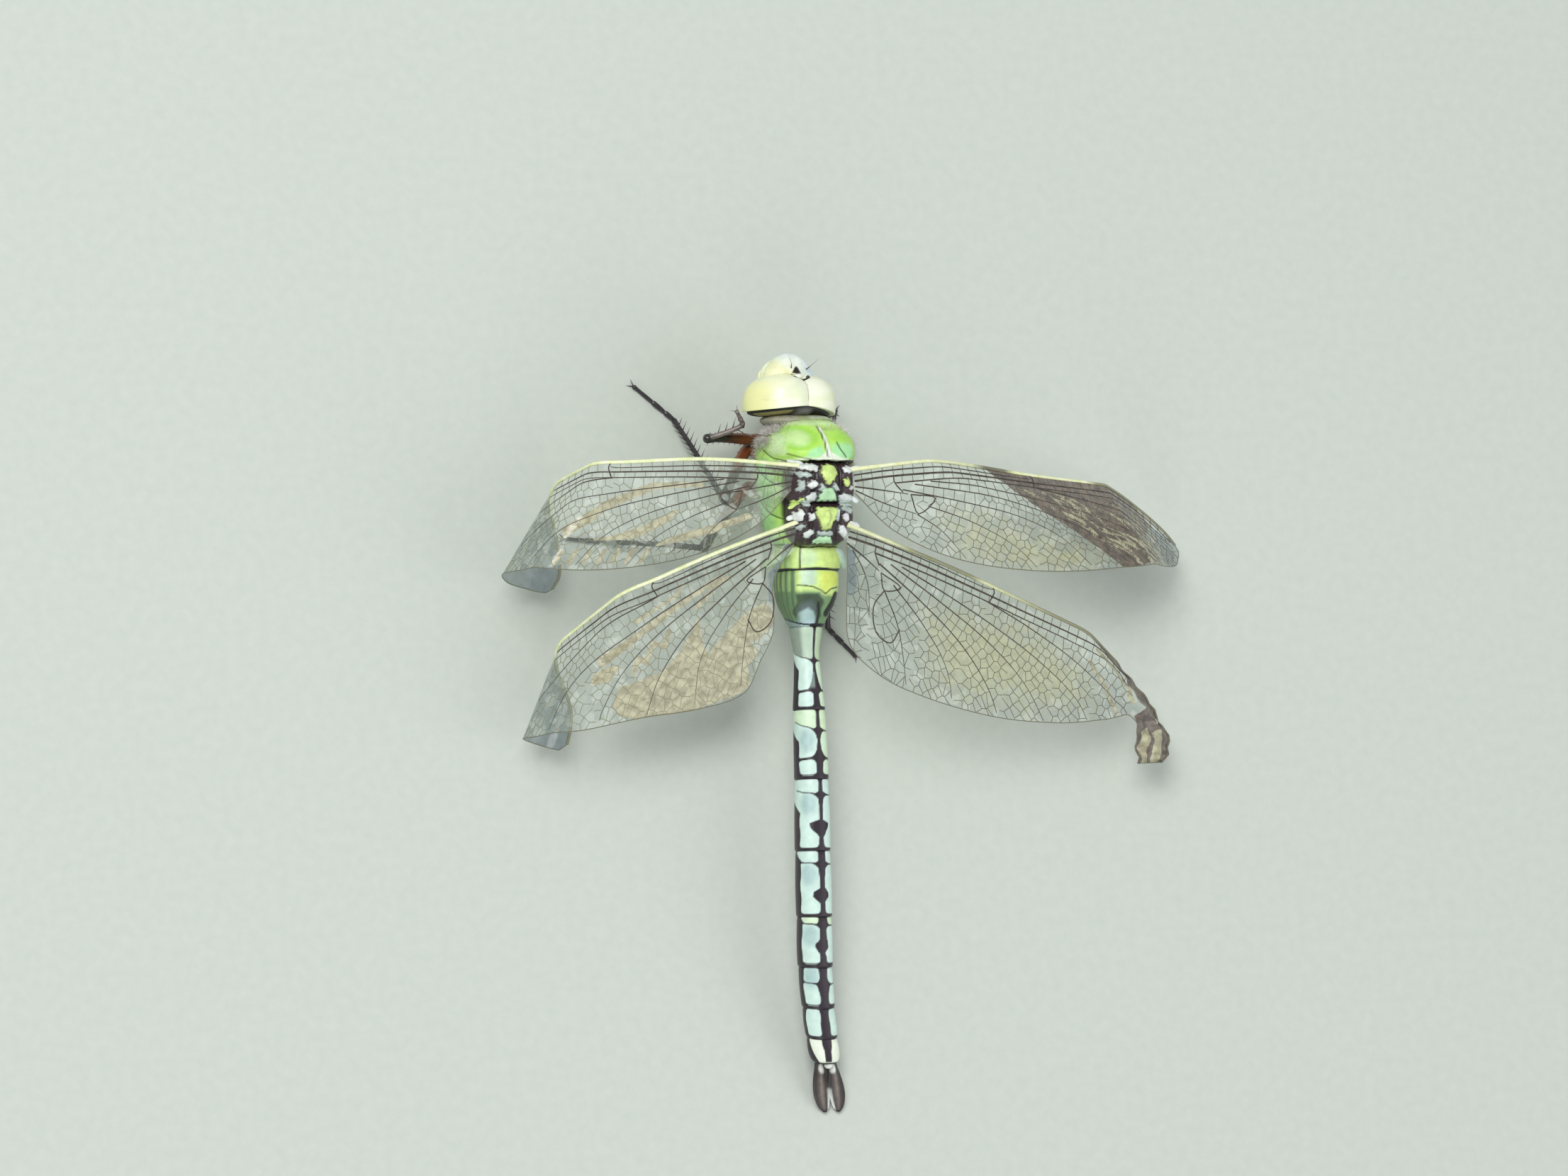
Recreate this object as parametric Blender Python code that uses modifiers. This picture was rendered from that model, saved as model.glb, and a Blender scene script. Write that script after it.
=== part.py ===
"""An emperor dragonfly at rest, life size: every plate, ring, leg piece and wing is its own solid.

It is laid out in a body frame, in millimetres: x to the animal's left, y from the tip of the face
towards the tail, z up from the middle of the thorax. An empty named stance pitches that frame nose-up
and lifts it onto the floor, and an empty named neck carries the head.
"""

import math

import bmesh
import bpy
from mathutils import Matrix, Vector

MM = 0.001
GAP = 0.3  # clear distance between neighbouring pieces

# Stance: nose-up pitch about the middle of the thorax, and that point's height over the floor.
PITCH = math.radians(8.0)
THORAX_Y, THORAX_HEIGHT = 13.0, 9.8

# Head, in its own frame: leaning a little to the animal's right on the neck.
HEAD_AT, HEAD_ROLL = (1.2, 0.0, -1.2), math.radians(8.0)
EYE_CENTRE, EYE_RADII, EYE_SEAM = (1.42, 5.15, 0.1), (3.45, 3.65, 3.75), 0.16
EYE_REAR, EYE_REAR_HOLLOW, EYE_REAR_LEAN = 5.65, 0.04, -0.03
NAPE_CENTRE, NAPE_RADII = (0.0, 5.85, 0.0), (4.3, 0.6, 3.5)
CORE_CENTRE, CORE_RADII = (0.0, 3.95, -1.1), (2.0, 2.5, 1.9)
FACE = {
    "frons": ((0.0, 2.05, 0.75), (2.6, 2.05, 1.75)),
    "clypeus": ((0.0, 2.0, -1.15), (2.3, 1.45, 0.85)),
    "labrum": ((0.0, 2.2, -2.55), (1.9, 1.2, 0.75)),
    "labium": ((0.0, 3.9, -3.5), (1.8, 1.6, 0.7)),
}
ANTENNA = [(0.75, 1.05, 2.55), (1.35, 0.35, 3.2), (2.3, -0.9, 3.6), (3.3, -2.2, 3.75)]
ANTENNA_RADIUS = 0.25

# Thorax sections: (y, width, top, bottom).
PROTHORAX_X = 0.55
PROTHORAX = [(6.9, 3.4, 0.5, -2.9), (7.0, 4.0, 1.1, -3.4), (7.35, 4.2, 1.3, -3.7), (7.5, 3.8, 1.0, -3.4)]
THORAX = [
    (7.85, 4.8, 1.9, -3.6),
    (8.1, 6.4, 2.7, -4.4),
    (8.8, 8.4, 3.9, -5.3),
    (9.9, 9.3, 4.8, -5.9),
    (10.9, 9.6, 5.2, -6.2),
    (11.35, 9.6, 5.0, -6.2),
    (11.7, 9.6, 4.2, -6.1),
    (13.5, 9.5, 4.1, -5.8),
    (15.5, 9.3, 4.0, -5.2),
    (17.3, 8.9, 3.8, -4.5),
    (18.8, 8.0, 3.4, -3.9),
    (19.6, 7.2, 3.0, -3.5),
]
# Back plates between the wing roots, seated a gap above the thorax: (y, width, top).
BACK_PLATES = {
    "mesonotum": [(11.75, 3.0, 5.4), (12.2, 3.9, 5.9), (13.4, 4.2, 6.0), (14.6, 4.0, 5.8), (15.3, 3.0, 5.4)],
    "metanotum": [(15.65, 2.8, 5.2), (16.2, 3.7, 5.6), (17.4, 3.9, 5.5), (18.6, 3.7, 5.0), (19.4, 2.6, 4.4)],
}

# Abdomen axis: (y, x, z). It arches over the floor and swings to the right at its end.
AXIS = [
    (19.0, 0.0, -0.1),
    (22.5, 0.1, 0.1),
    (28.3, 0.3, 0.5),
    (36.8, 0.2, 1.2),
    (43.9, 0.15, 1.8),
    (51.2, 0.2, 2.3),
    (57.9, 0.15, 2.6),
    (63.0, 0.0, 2.5),
    (67.2, -0.5, 2.05),
    (70.3, -1.05, 1.6),
    (73.0, -1.65, 1.05),
    (78.2, -2.85, -0.35),
]
# Abdomen rings: borders between them, and for each (share along it, width, height).
BORDERS = [19.85, 22.55, 28.3, 36.8, 43.9, 51.2, 57.9, 63.0, 67.2, 70.3, 73.0]
RINGS = [
    [(0, 6.6, 6.3), (0.3, 7.1, 6.6), (1, 6.8, 6.5)],
    [(0, 6.6, 6.4), (0.3, 6.4, 6.2), (0.6, 5.2, 5.3), (0.85, 3.9, 4.2), (1, 3.5, 3.8)],
    [(0, 3.3, 3.6), (0.3, 2.6, 3.0), (0.65, 2.8, 3.1), (1, 3.3, 3.4)],
    [(0, 3.2, 3.4), (0.5, 3.4, 3.5), (1, 3.5, 3.6)],
    [(0, 3.4, 3.5), (0.5, 3.6, 3.6), (1, 3.65, 3.6)],
    [(0, 3.5, 3.5), (0.5, 3.7, 3.6), (1, 3.65, 3.6)],
    [(0, 3.5, 3.5), (0.5, 3.65, 3.5), (1, 3.6, 3.4)],
    [(0, 3.4, 3.3), (0.5, 3.5, 3.2), (1, 3.4, 3.1)],
    [(0, 3.2, 3.0), (0.5, 3.4, 2.9), (1, 3.3, 2.8)],
    [(0, 3.1, 2.7), (0.5, 3.3, 2.6), (0.85, 3.0, 2.3), (1, 2.5, 1.8)],
]
RING_SHARES, RING_RIM = [0.0, 0.06, 0.25, 0.5, 0.75, 0.94, 1.0], 0.93
# Tail plates: distance beside and below the axis, and (y, spread beyond it, width, thickness).
CERCUS = [
    (73.25, 0, 0.7, 0.6),
    (74.4, 0.1, 1.1, 0.75),
    (76.0, 0.25, 1.55, 0.7),
    (77.5, 0.2, 1.1, 0.6),
    (78.3, 0.1, 0.5, 0.5),
]
EPIPROCT = [(73.25, 0, 1.0, 0.5), (74.2, 0, 1.1, 0.55), (75.3, 0, 0.6, 0.5)]
TAIL_PLATES = {
    "cercus_left": (1, 0.75, 0.0, CERCUS),
    "cercus_right": (-1, 0.75, 0.0, CERCUS),
    "epiproct": (0, 0.0, 0.75, EPIPROCT),
}

# Legs: the hip, then trochanter, knee, ankle and claw; a height of None rests on the floor.
HIPS = {"fore": (1.5, 8.6, -6.3), "mid": (1.6, 10.7, -7.2), "hind": (1.6, 13.6, -6.9)}
LEGS = {
    "fore_left": [(3.9, 8.8, -6.2), (9.6, 8.8, -3.9), (5.9, 7.4, -2.9), (7.1, 6.0, -1.6)],
    "fore_right": [(-3.1, 8.8, -6.9), (-7.0, 9.8, -7.3), (-2.9, 6.9, -7.0), (-4.9, 6.1, -4.6)],
    "mid_left": [(4.1, 9.7, -7.0), (7.8, 15.2, -3.5), (10.9, 6.7, None), (15.2, 3.2, None)],
    "mid_right": [(-3.6, 10.9, -7.4), (-5.9, 15.0, -5.0), (-6.3, 9.2, None), (-7.2, 5.4, None)],
    "hind_left": [(4.2, 13.7, -6.6), (10.3, 20.1, -2.7), (18.8, 19.5, None), (23.4, 19.1, None)],
    "hind_right": [(-3.2, 14.4, -7.6), (-4.3, 21.6, -4.4), (-5.1, 28.4, None), (-8.1, 31.4, None)],
}
LEG_PIECES = {"coxa": (0.72, 0.6), "femur": (0.62, 0.45), "tibia": (0.36, 0.3), "tarsus": (0.28, 0.26)}
REST_HEIGHTS = (0.0, 0.0, 0.27, 0.22)  # of each joint's centre when it rests on the floor

# Wing outlines as shares of the wing's length: (station, outward, rearward) along each edge.
FORE_LEAD = [(0, 0, 0), (0.25, 0.25, -0.018), (0.5, 0.5, -0.012), (0.8, 0.8, -0.01), (0.92, 0.92, 0.015),
             (0.98, 0.98, 0.045), (1, 1, 0.075)]
FORE_TRAIL = [(0, 0.01, 0.055), (0.1, 0.1, 0.145), (0.25, 0.25, 0.215), (0.45, 0.45, 0.25),
              (0.65, 0.65, 0.25), (0.8, 0.8, 0.22), (0.92, 0.92, 0.175), (0.98, 0.98, 0.12), (1, 1, 0.095)]
HIND_LEAD = [(0, 0, 0), (0.25, 0.25, -0.012), (0.5, 0.5, -0.01), (0.8, 0.8, 0), (0.92, 0.92, 0.02),
             (0.97, 0.97, 0.05), (1, 1, 0.08)]
HIND_TRAIL = [(0, 0.03, 0.05), (0.07, 0.11, 0.12), (0.13, 0.145, 0.24), (0.18, 0.2, 0.3), (0.24, 0.262, 0.36),
              (0.38, 0.39, 0.352), (0.55, 0.55, 0.31), (0.75, 0.75, 0.265), (0.88, 0.88, 0.21),
              (0.96, 0.96, 0.14), (1, 1, 0.105)]
# The right hindwing ends in a crumpled lobe that turns rearward.
HOOK_LEAD = [(0, 0, 0), (0.3, 0.3, -0.01), (0.55, 0.55, -0.008), (0.74, 0.74, -0.004), (0.86, 0.86, 0.005),
             (0.92, 0.945, 0.045), (0.95, 1.0, 0.09), (0.98, 1.01, 0.16), (1, 1.0, 0.22)]
HOOK_TRAIL = [(0, 0.01, 0.04), (0.03, 0.03, 0.1), (0.07, 0.05, 0.18), (0.1, 0.075, 0.255),
              (0.15, 0.127, 0.294), (0.27, 0.25, 0.315), (0.5, 0.49, 0.292), (0.7, 0.69, 0.236),
              (0.82, 0.818, 0.178), (0.92, 0.885, 0.142), (0.95, 0.903, 0.165), (0.98, 0.92, 0.21),
              (1, 0.93, 0.25)]
# Wings: edges, length, creases from the tip inward (share along the front edge, skew, bend, radius),
# then how each is swept back, drooped and pitched at its root. Angles are in degrees.
WINGS = {
    "forewing_left": dict(lead=FORE_LEAD, trail=FORE_TRAIL, length=41.0, side=1, root=(2.75, 11.7, 5.0),
                          creases=[(0.69, 31, 112, 4.2), (0.48, 30, 90, 2.2)], sweep=1, droop=-5, pitch=9),
    "forewing_right": dict(lead=FORE_LEAD, trail=FORE_TRAIL, length=44.5, side=-1, root=(-2.75, 12.1, 5.0),
                           creases=[(0.74, 10, 20, 2.0), (0.19, 60, 36, 2.5)], sweep=-2, droop=2, pitch=-8),
    "hindwing_left": dict(lead=HIND_LEAD, trail=HIND_TRAIL, length=41.0, side=1, root=(2.6, 17.4, 4.75),
                          creases=[(0.72, 36, 145, 2.5), (0.41, 47, 88, 2.5)], sweep=22, droop=-5, pitch=14),
    "hindwing_right": dict(lead=HOOK_LEAD, trail=HOOK_TRAIL, length=44.0, side=-1, root=(-2.6, 17.7, 4.9),
                           creases=[(0.69, 60, 47, 1.5)], sweep=21.5, droop=9, pitch=-12.5),
}
WING_THICKNESS = 0.5
WING_ALONG, WING_ACROSS = 30, 6

# Colour (linear), roughness and metallic value of each kind of surface.
SURFACES = {
    "eye": ((0.80, 0.86, 0.42), 0.3, 0.0),
    "face": ((0.86, 0.88, 0.50), 0.4, 0.0),
    "nape": ((0.03, 0.03, 0.015), 0.5, 0.0),
    "green": ((0.22, 0.52, 0.08), 0.45, 0.0),
    "nota": ((0.35, 0.60, 0.12), 0.45, 0.0),
    "blue": ((0.42, 0.68, 0.60), 0.4, 0.0),
    "pale": ((0.75, 0.78, 0.50), 0.45, 0.0),
    "dark": ((0.03, 0.018, 0.012), 0.4, 0.0),
    "leg": ((0.025, 0.014, 0.01), 0.35, 0.0),
    "wing": ((0.62, 0.66, 0.55), 0.25, 0.0),
}


def surface(kind):
    """The Principled material of one kind of surface, made once."""
    material = bpy.data.materials.get(kind)
    if material is None:
        colour, roughness, metallic = SURFACES[kind]
        material = bpy.data.materials.new(kind)
        material.use_nodes = True
        shader = material.node_tree.nodes["Principled BSDF"]
        shader.inputs["Base Color"].default_value = (*colour, 1.0)
        shader.inputs["Roughness"].default_value = roughness
        shader.inputs["Metallic"].default_value = metallic
    return material


def add_object(name, bm, kind, parent, collection=None):
    """An object from a bmesh in millimetres, in its parent's frame."""
    bmesh.ops.scale(bm, vec=(MM, MM, MM), verts=bm.verts)
    mesh = bpy.data.meshes.new(name)
    bm.to_mesh(mesh)
    bm.free()
    mesh.materials.append(surface(kind))
    mesh.shade_smooth()
    mesh.set_sharp_from_angle(angle=math.radians(35))
    obj = bpy.data.objects.new(name, mesh)
    obj.parent = parent
    (collection or model).objects.link(obj)
    return obj


def add_cutter(name, bm, parent):
    """A shape that only cuts or joins: kept in its own collection and out of renders."""
    obj = add_object(name, bm, "nape", parent, cutters)
    obj.hide_render = True
    obj.display_type = "WIRE"
    return obj


def combine(obj, other, operation):
    modifier = obj.modifiers.new(operation.title(), "BOOLEAN")
    modifier.operation = operation
    modifier.solver = "EXACT"
    modifier.object = other


def ball(centre, radii, grow=0.0, segments=20, rings=12):
    """An ellipsoid, larger all round by grow."""
    bm = bmesh.new()
    place = Matrix.Translation(centre) @ Matrix.Diagonal((*(r + grow for r in radii), 1.0))
    bmesh.ops.create_uvsphere(bm, u_segments=segments, v_segments=rings, radius=1.0, matrix=place)
    return bm


def block(low, high, cuts=0):
    """A box between two corners, its faces cut into a grid where it will be curved."""
    bm = bmesh.new()
    low, high = Vector(low), Vector(high)
    place = Matrix.Translation((low + high) / 2) @ Matrix.Diagonal((*(high - low), 1.0))
    bmesh.ops.create_cube(bm, size=1.0, matrix=place)
    if cuts:
        bmesh.ops.subdivide_edges(bm, edges=bm.edges, cuts=cuts, use_grid_fill=True)
    return bm


def hollow(bm):
    """Bends a shape along y to the hollow rear of the eyes."""
    for vert in bm.verts:
        vert.co.y += EYE_REAR_HOLLOW * vert.co.x**2 + EYE_REAR_LEAN * vert.co.z
    return bm


def shape_eye(eye, name, side, grow):
    """Cuts an eye flat on the seam with the other one, and hollow where the nape fits behind it."""
    rear = hollow(block((-7.3, EYE_REAR + grow, -7.1), (7.4, 15.0, 7.2), 9))
    combine(eye, add_cutter(name + "_rear", rear, neck), "DIFFERENCE")
    seam = EYE_SEAM - grow
    edges = sorted((side * seam, side * (seam - 9.0)))
    box = block((edges[0], -3.2, -6.3), (edges[1], 13.3, 6.4))
    combine(eye, add_cutter(name + "_seam", box, neck), "DIFFERENCE")


def build_head():
    """Nape and core, the two eyes that meet over them, the face plates and the antennae."""
    head = add_object("head", hollow(ball(NAPE_CENTRE, NAPE_RADII)), "nape", neck)
    core = add_cutter("core", ball(CORE_CENTRE, CORE_RADII), neck)
    core_room = add_cutter("core_room", ball(CORE_CENTRE, CORE_RADII, GAP), neck)
    rooms = [core_room]
    for side, label in ((1, "left"), (-1, "right")):
        centre = (side * EYE_CENTRE[0], *EYE_CENTRE[1:])
        eye = add_object("eye_" + label, ball(centre, EYE_RADII, 0.0, 24, 14), "eye", neck)
        shape_eye(eye, "eye_" + label, side, 0.0)
        combine(eye, core_room, "DIFFERENCE")
        room = add_cutter("eye_room_" + label, ball(centre, EYE_RADII, GAP), neck)
        shape_eye(room, "eye_room_" + label, side, GAP)
        combine(head, room, "DIFFERENCE")
        rooms.append(room)
    combine(head, core, "UNION")
    above = None
    for name, (centre, radii) in FACE.items():
        plate = add_object(name, ball(centre, radii), "face", neck)
        for room in rooms + ([above] if above else []):
            combine(plate, room, "DIFFERENCE")
        above = add_cutter(name + "_room", ball(centre, radii, GAP), neck)
    for side, label in ((1, "left"), (-1, "right")):
        add_bristle("antenna_" + label, [(side * x, y, z) for x, y, z in ANTENNA])


def add_bristle(name, path):
    """A round bristle along a path, as a bevelled curve with filled caps."""
    curve = bpy.data.curves.new(name, "CURVE")
    curve.dimensions = "3D"
    curve.bevel_depth = ANTENNA_RADIUS * MM
    curve.bevel_resolution = 1
    curve.use_fill_caps = True
    spline = curve.splines.new("POLY")
    spline.points.add(len(path) - 1)
    for point, place in zip(spline.points, path):
        point.co = (*(MM * c for c in place), 1.0)
    curve.materials.append(surface("dark"))
    obj = bpy.data.objects.new(name, curve)
    obj.parent = neck
    model.objects.link(obj)


def oval(angle, half_width, half_height, power):
    """A point of a superellipse: power 2 is an ellipse, and a larger one is squarer."""
    c, s = math.cos(angle), math.sin(angle)
    return (
        half_width * math.copysign(abs(c) ** (2 / power), c),
        half_height * math.copysign(abs(s) ** (2 / power), s),
    )


def loft(sections, sides, power):
    """A closed loft through ovals across the y axis: (centre, width, height, upward slope)."""
    bm = bmesh.new()
    loops = []
    for (x, y, z), width, height, slope in sections:
        loop = []
        for j in range(sides):
            across, up = oval(2 * math.pi * j / sides, width / 2, height / 2, power)
            loop.append(bm.verts.new((x + across, y - up * math.sin(slope), z + up * math.cos(slope))))
        loops.append(loop)
    for near, far in zip(loops, loops[1:]):
        for j in range(sides):
            k = (j + 1) % sides
            bm.faces.new((near[j], far[j], far[k], near[k]))
    bm.faces.new(loops[0])
    bm.faces.new(list(reversed(loops[-1])))
    return bm


def linear(pairs, at):
    """The value at this position on straight lines through (position, value) pairs."""
    for (a, low), (b, high) in zip(pairs, pairs[1:]):
        if at <= b:
            return low + (high - low) * max(at - a, 0.0) / (b - a)
    return pairs[-1][1]


def smooth(pairs, at):
    """The value at this position on a smooth curve through (position, value) pairs."""
    last = len(pairs) - 1
    slopes = []
    for i in range(last + 1):
        (a, low), (b, high) = pairs[max(i - 1, 0)], pairs[min(i + 1, last)]
        slopes.append((high - low) / (b - a))
    i = next((i for i in range(last) if at <= pairs[i + 1][0]), last - 1)
    (a, low), (b, high) = pairs[i], pairs[i + 1]
    t = (at - a) / (b - a)
    bend = (t**3 - 2 * t**2 + t) * slopes[i] + (t**3 - t**2) * slopes[i + 1]
    return low + (high - low) * (3 * t**2 - 2 * t**3) + (b - a) * bend


def upright(sections, x=0.0):
    """Loft sections from (y, width, top, bottom) rows."""
    return [((x, y, (top + low) / 2), width, top - low, 0.0) for y, width, top, low in sections]


def build_thorax():
    """Prothorax, the winged thorax, and the two back plates between the wing roots."""
    add_object("prothorax", loft(upright(PROTHORAX, PROTHORAX_X), 16, 2.4), "green", stance)
    add_object("thorax", loft(upright(THORAX), 28, 2.3), "green", stance)
    roof = [(y, top) for y, _, top, _ in THORAX]
    for name, rows in BACK_PLATES.items():
        seated = [(y, width, top, linear(roof, y) + GAP) for y, width, top in rows]
        add_object(name, loft(upright(seated), 14, 3.0), "nota", stance)


def axis_at(y):
    """Centre and slope of the abdomen at this y."""
    y = min(y, AXIS[-1][0])
    x_line, z_line = [(a, b) for a, b, _ in AXIS], [(a, c) for a, _, c in AXIS]
    low, high = max(y - 0.5, AXIS[0][0]), min(y + 0.5, AXIS[-1][0])
    slope = math.atan2(smooth(z_line, high) - smooth(z_line, low), high - low)
    return smooth(x_line, y), smooth(z_line, y), slope


def build_abdomen():
    """Ten rings along the bent axis with a gap between them, then the plates at the tail's tip."""
    for n, shapes in enumerate(RINGS):
        start, end = BORDERS[n] + GAP / 2, BORDERS[n + 1] - GAP / 2
        sections = []
        for share in RING_SHARES:
            y = start + (end - start) * share
            x, z, slope = axis_at(y)
            rim = RING_RIM if share in (0.0, 1.0) else 1.0
            width = linear([(s, w) for s, w, _ in shapes], share) * rim
            height = linear([(s, h) for s, _, h in shapes], share) * rim
            sections.append(((x, y, z), width, height, slope))
        kind = "green" if n < 2 else "blue" if n < 8 else "pale"
        add_object("segment_%02d" % (n + 1), loft(sections, 16, 2.4), kind, stance)
    for name, (side, beside, below, rows) in TAIL_PLATES.items():
        sections = []
        for y, spread, width, thickness in rows:
            x, z, slope = axis_at(y)
            sections.append(((x + side * (beside + spread), y, z - below), width, thickness, slope))
        plate = add_object(name, loft(sections, 10, 2.4), "dark", stance)
        combine(plate, floor, "DIFFERENCE")


def floor_height(y, height):
    """The z, in the body frame, of a point at this y that stands this high over the floor."""
    return (height - THORAX_HEIGHT + (y - THORAX_Y) * math.sin(PITCH)) / math.cos(PITCH)


def joint_room(before, joint, after, reach):
    """How far two bars stop short of their joint, so that they stay clear of each other."""
    half = (before - joint).angle(after - joint) / 2
    return max(GAP * 1.5, (reach + GAP) / (2 * math.sin(half)) if half < math.radians(70) else 0.0)


def add_bar(name, start, end, radii):
    """A tapered round bar between two points, as a cone placed by its location and rotation."""
    bm = bmesh.new()
    length = (end - start).length
    bmesh.ops.create_cone(bm, cap_ends=True, segments=8, radius1=radii[0], radius2=radii[1], depth=length)
    bar = add_object(name, bm, "leg", stance)
    bar.location = (start + end) / 2 * MM
    bar.rotation_mode = "QUATERNION"
    bar.rotation_quaternion = (end - start).to_track_quat("Z", "Y")
    return bar


def build_legs():
    """Six legs of coxa, femur, tibia and tarsus; four stand on the floor and the forelegs are tucked up."""
    radii = list(LEG_PIECES.values())
    for label, joints in LEGS.items():
        pair, side = label.split("_")
        chain = [Vector(HIPS[pair])]
        chain[0].x *= 1 if side == "left" else -1
        for (x, y, z), height in zip(joints, REST_HEIGHTS):
            chain.append(Vector((x, y, floor_height(y, height) if z is None else z)))
        rooms = [0.0, 0.0, 0.0, 0.0, 0.0]
        for k in (1, 2, 3):
            rooms[k] = joint_room(chain[k - 1], chain[k], chain[k + 1], radii[k - 1][1] + radii[k][0])
        for k, piece in enumerate(LEG_PIECES):
            along = (chain[k + 1] - chain[k]).normalized()
            start, end = chain[k] + along * rooms[k], chain[k + 1] - along * rooms[k + 1]
            bar = add_bar(piece + "_" + label, start, end, radii[k])
            if piece == "tarsus":
                combine(bar, floor, "DIFFERENCE")


def fold(point, flat, start, skew, bend, radius):
    """Rolls what lies beyond a skewed crease of a flat sheet about a cylinder of this radius."""
    normal, along = Vector((math.cos(skew), -math.sin(skew))), Vector((math.sin(skew), math.cos(skew)))
    beyond = (flat - Vector((start, 0.0))) @ normal
    rolled = min(max(beyond, 0.0), radius * bend)
    angle = rolled / radius
    place = point.xy - Vector((start, 0.0))
    out = place @ normal - rolled
    ahead = radius * math.sin(angle) + out * math.cos(angle) + point.z * math.sin(angle)
    down = radius * (1 - math.cos(angle)) + out * math.sin(angle)
    x, y = Vector((start, 0.0)) + ahead * normal + (place @ along) * along
    return Vector((x, y, point.z * math.cos(angle) - down))


def wing_point(wing, u, v):
    """A point of the folded sheet at a share u along the wing and v across it, in the wing's frame."""
    lead, trail = (
        Vector((smooth([(s, x) for s, x, _ in edge], u), smooth([(s, y) for s, _, y in edge], u)))
        for edge in (wing["lead"], wing["trail"])
    )
    flat = lead.lerp(trail, v) * wing["length"]
    point = Vector((*flat, 0.0))
    for share, skew, bend, radius in wing["creases"]:
        point = fold(point, flat, share * wing["length"], math.radians(skew), math.radians(bend), radius)
    return point


def build_wings():
    """Four folded sheets, thickened evenly to both sides and turned at their roots."""
    for name, wing in WINGS.items():
        side = wing["side"]
        bm = bmesh.new()
        bmesh.ops.create_grid(bm, x_segments=WING_ALONG, y_segments=WING_ACROSS, size=0.5)
        for vert in bm.verts:
            point = wing_point(wing, vert.co.x + 0.5, vert.co.y + 0.5)
            vert.co = (side * point.x, point.y, point.z)
        if side < 0:
            bmesh.ops.reverse_faces(bm, faces=bm.faces)
        obj = add_object(name, bm, "wing", stance)
        obj.location = Vector(wing["root"]) * MM
        turn = [math.radians(wing[angle]) for angle in ("pitch", "droop", "sweep")]
        obj.rotation_euler = (-turn[0], side * turn[1], side * turn[2])
        solid = obj.modifiers.new("Thickness", "SOLIDIFY")
        solid.thickness = WING_THICKNESS * MM
        solid.offset = 0.0
        solid.use_even_offset = True


def centre_on_origin():
    """Slides the stance so that the middle of the model's footprint is over the origin."""
    bpy.context.view_layer.update()
    graph = bpy.context.evaluated_depsgraph_get()
    corners = []
    for obj in model.objects:
        evaluated = obj.evaluated_get(graph)
        if evaluated.type != "EMPTY":
            mesh = evaluated.to_mesh()
            corners += [evaluated.matrix_world @ vert.co for vert in mesh.vertices]
            evaluated.to_mesh_clear()
    for axis in (0, 1):
        values = [corner[axis] for corner in corners]
        stance.location[axis] -= (min(values) + max(values)) / 2


for old in list(bpy.data.objects):
    bpy.data.objects.remove(old)
model = bpy.data.collections.new("dragonfly")
cutters = bpy.data.collections.new("cutters")
bpy.context.scene.collection.children.link(model)
bpy.context.scene.collection.children.link(cutters)
cutters.hide_render = True

stance = bpy.data.objects.new("stance", None)
stance.rotation_euler.x = -PITCH
stance.location.z = (THORAX_HEIGHT + THORAX_Y * math.sin(PITCH)) * MM
neck = bpy.data.objects.new("neck", None)
neck.parent = stance
neck.location = Vector(HEAD_AT) * MM
neck.rotation_euler.y = -HEAD_ROLL
for empty in (stance, neck):
    model.objects.link(empty)
floor = add_cutter("floor", block((-60.0, -60.0, -20.0), (60.0, 120.0, 0.0)), None)

build_head()
build_thorax()
build_abdomen()
build_legs()
build_wings()
centre_on_origin()
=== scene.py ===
"""An emperor dragonfly at rest, life size, as a museum model: body, head, legs and four veined wings.

Shapes are given in millimetres in a body frame: x to the animal's left, y from the tip of the face
towards the tail, z up from the middle of the thorax. Two matrices, stance and neck, carry them to the floor.
"""

import math
import random

import bpy
import numpy as np
from mathutils import Matrix, Vector, geometry


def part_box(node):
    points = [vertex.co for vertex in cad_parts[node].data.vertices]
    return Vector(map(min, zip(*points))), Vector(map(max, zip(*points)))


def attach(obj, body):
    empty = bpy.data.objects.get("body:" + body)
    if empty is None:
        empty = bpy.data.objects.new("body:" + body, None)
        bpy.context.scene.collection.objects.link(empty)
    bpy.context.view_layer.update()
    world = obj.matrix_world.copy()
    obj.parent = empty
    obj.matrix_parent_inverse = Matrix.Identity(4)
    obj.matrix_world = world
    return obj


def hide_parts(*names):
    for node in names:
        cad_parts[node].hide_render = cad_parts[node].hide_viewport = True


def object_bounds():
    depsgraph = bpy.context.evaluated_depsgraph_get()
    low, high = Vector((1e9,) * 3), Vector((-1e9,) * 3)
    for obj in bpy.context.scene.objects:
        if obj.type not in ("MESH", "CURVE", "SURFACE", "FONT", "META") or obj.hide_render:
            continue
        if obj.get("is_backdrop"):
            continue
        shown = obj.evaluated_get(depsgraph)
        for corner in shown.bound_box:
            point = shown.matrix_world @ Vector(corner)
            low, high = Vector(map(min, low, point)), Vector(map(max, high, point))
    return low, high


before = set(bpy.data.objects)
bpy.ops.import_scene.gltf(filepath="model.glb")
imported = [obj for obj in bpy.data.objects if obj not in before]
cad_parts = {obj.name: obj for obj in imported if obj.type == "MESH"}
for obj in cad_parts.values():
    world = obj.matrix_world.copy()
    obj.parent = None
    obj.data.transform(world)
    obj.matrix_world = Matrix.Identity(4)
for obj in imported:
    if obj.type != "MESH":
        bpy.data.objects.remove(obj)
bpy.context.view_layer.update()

MM = 0.001

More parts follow.
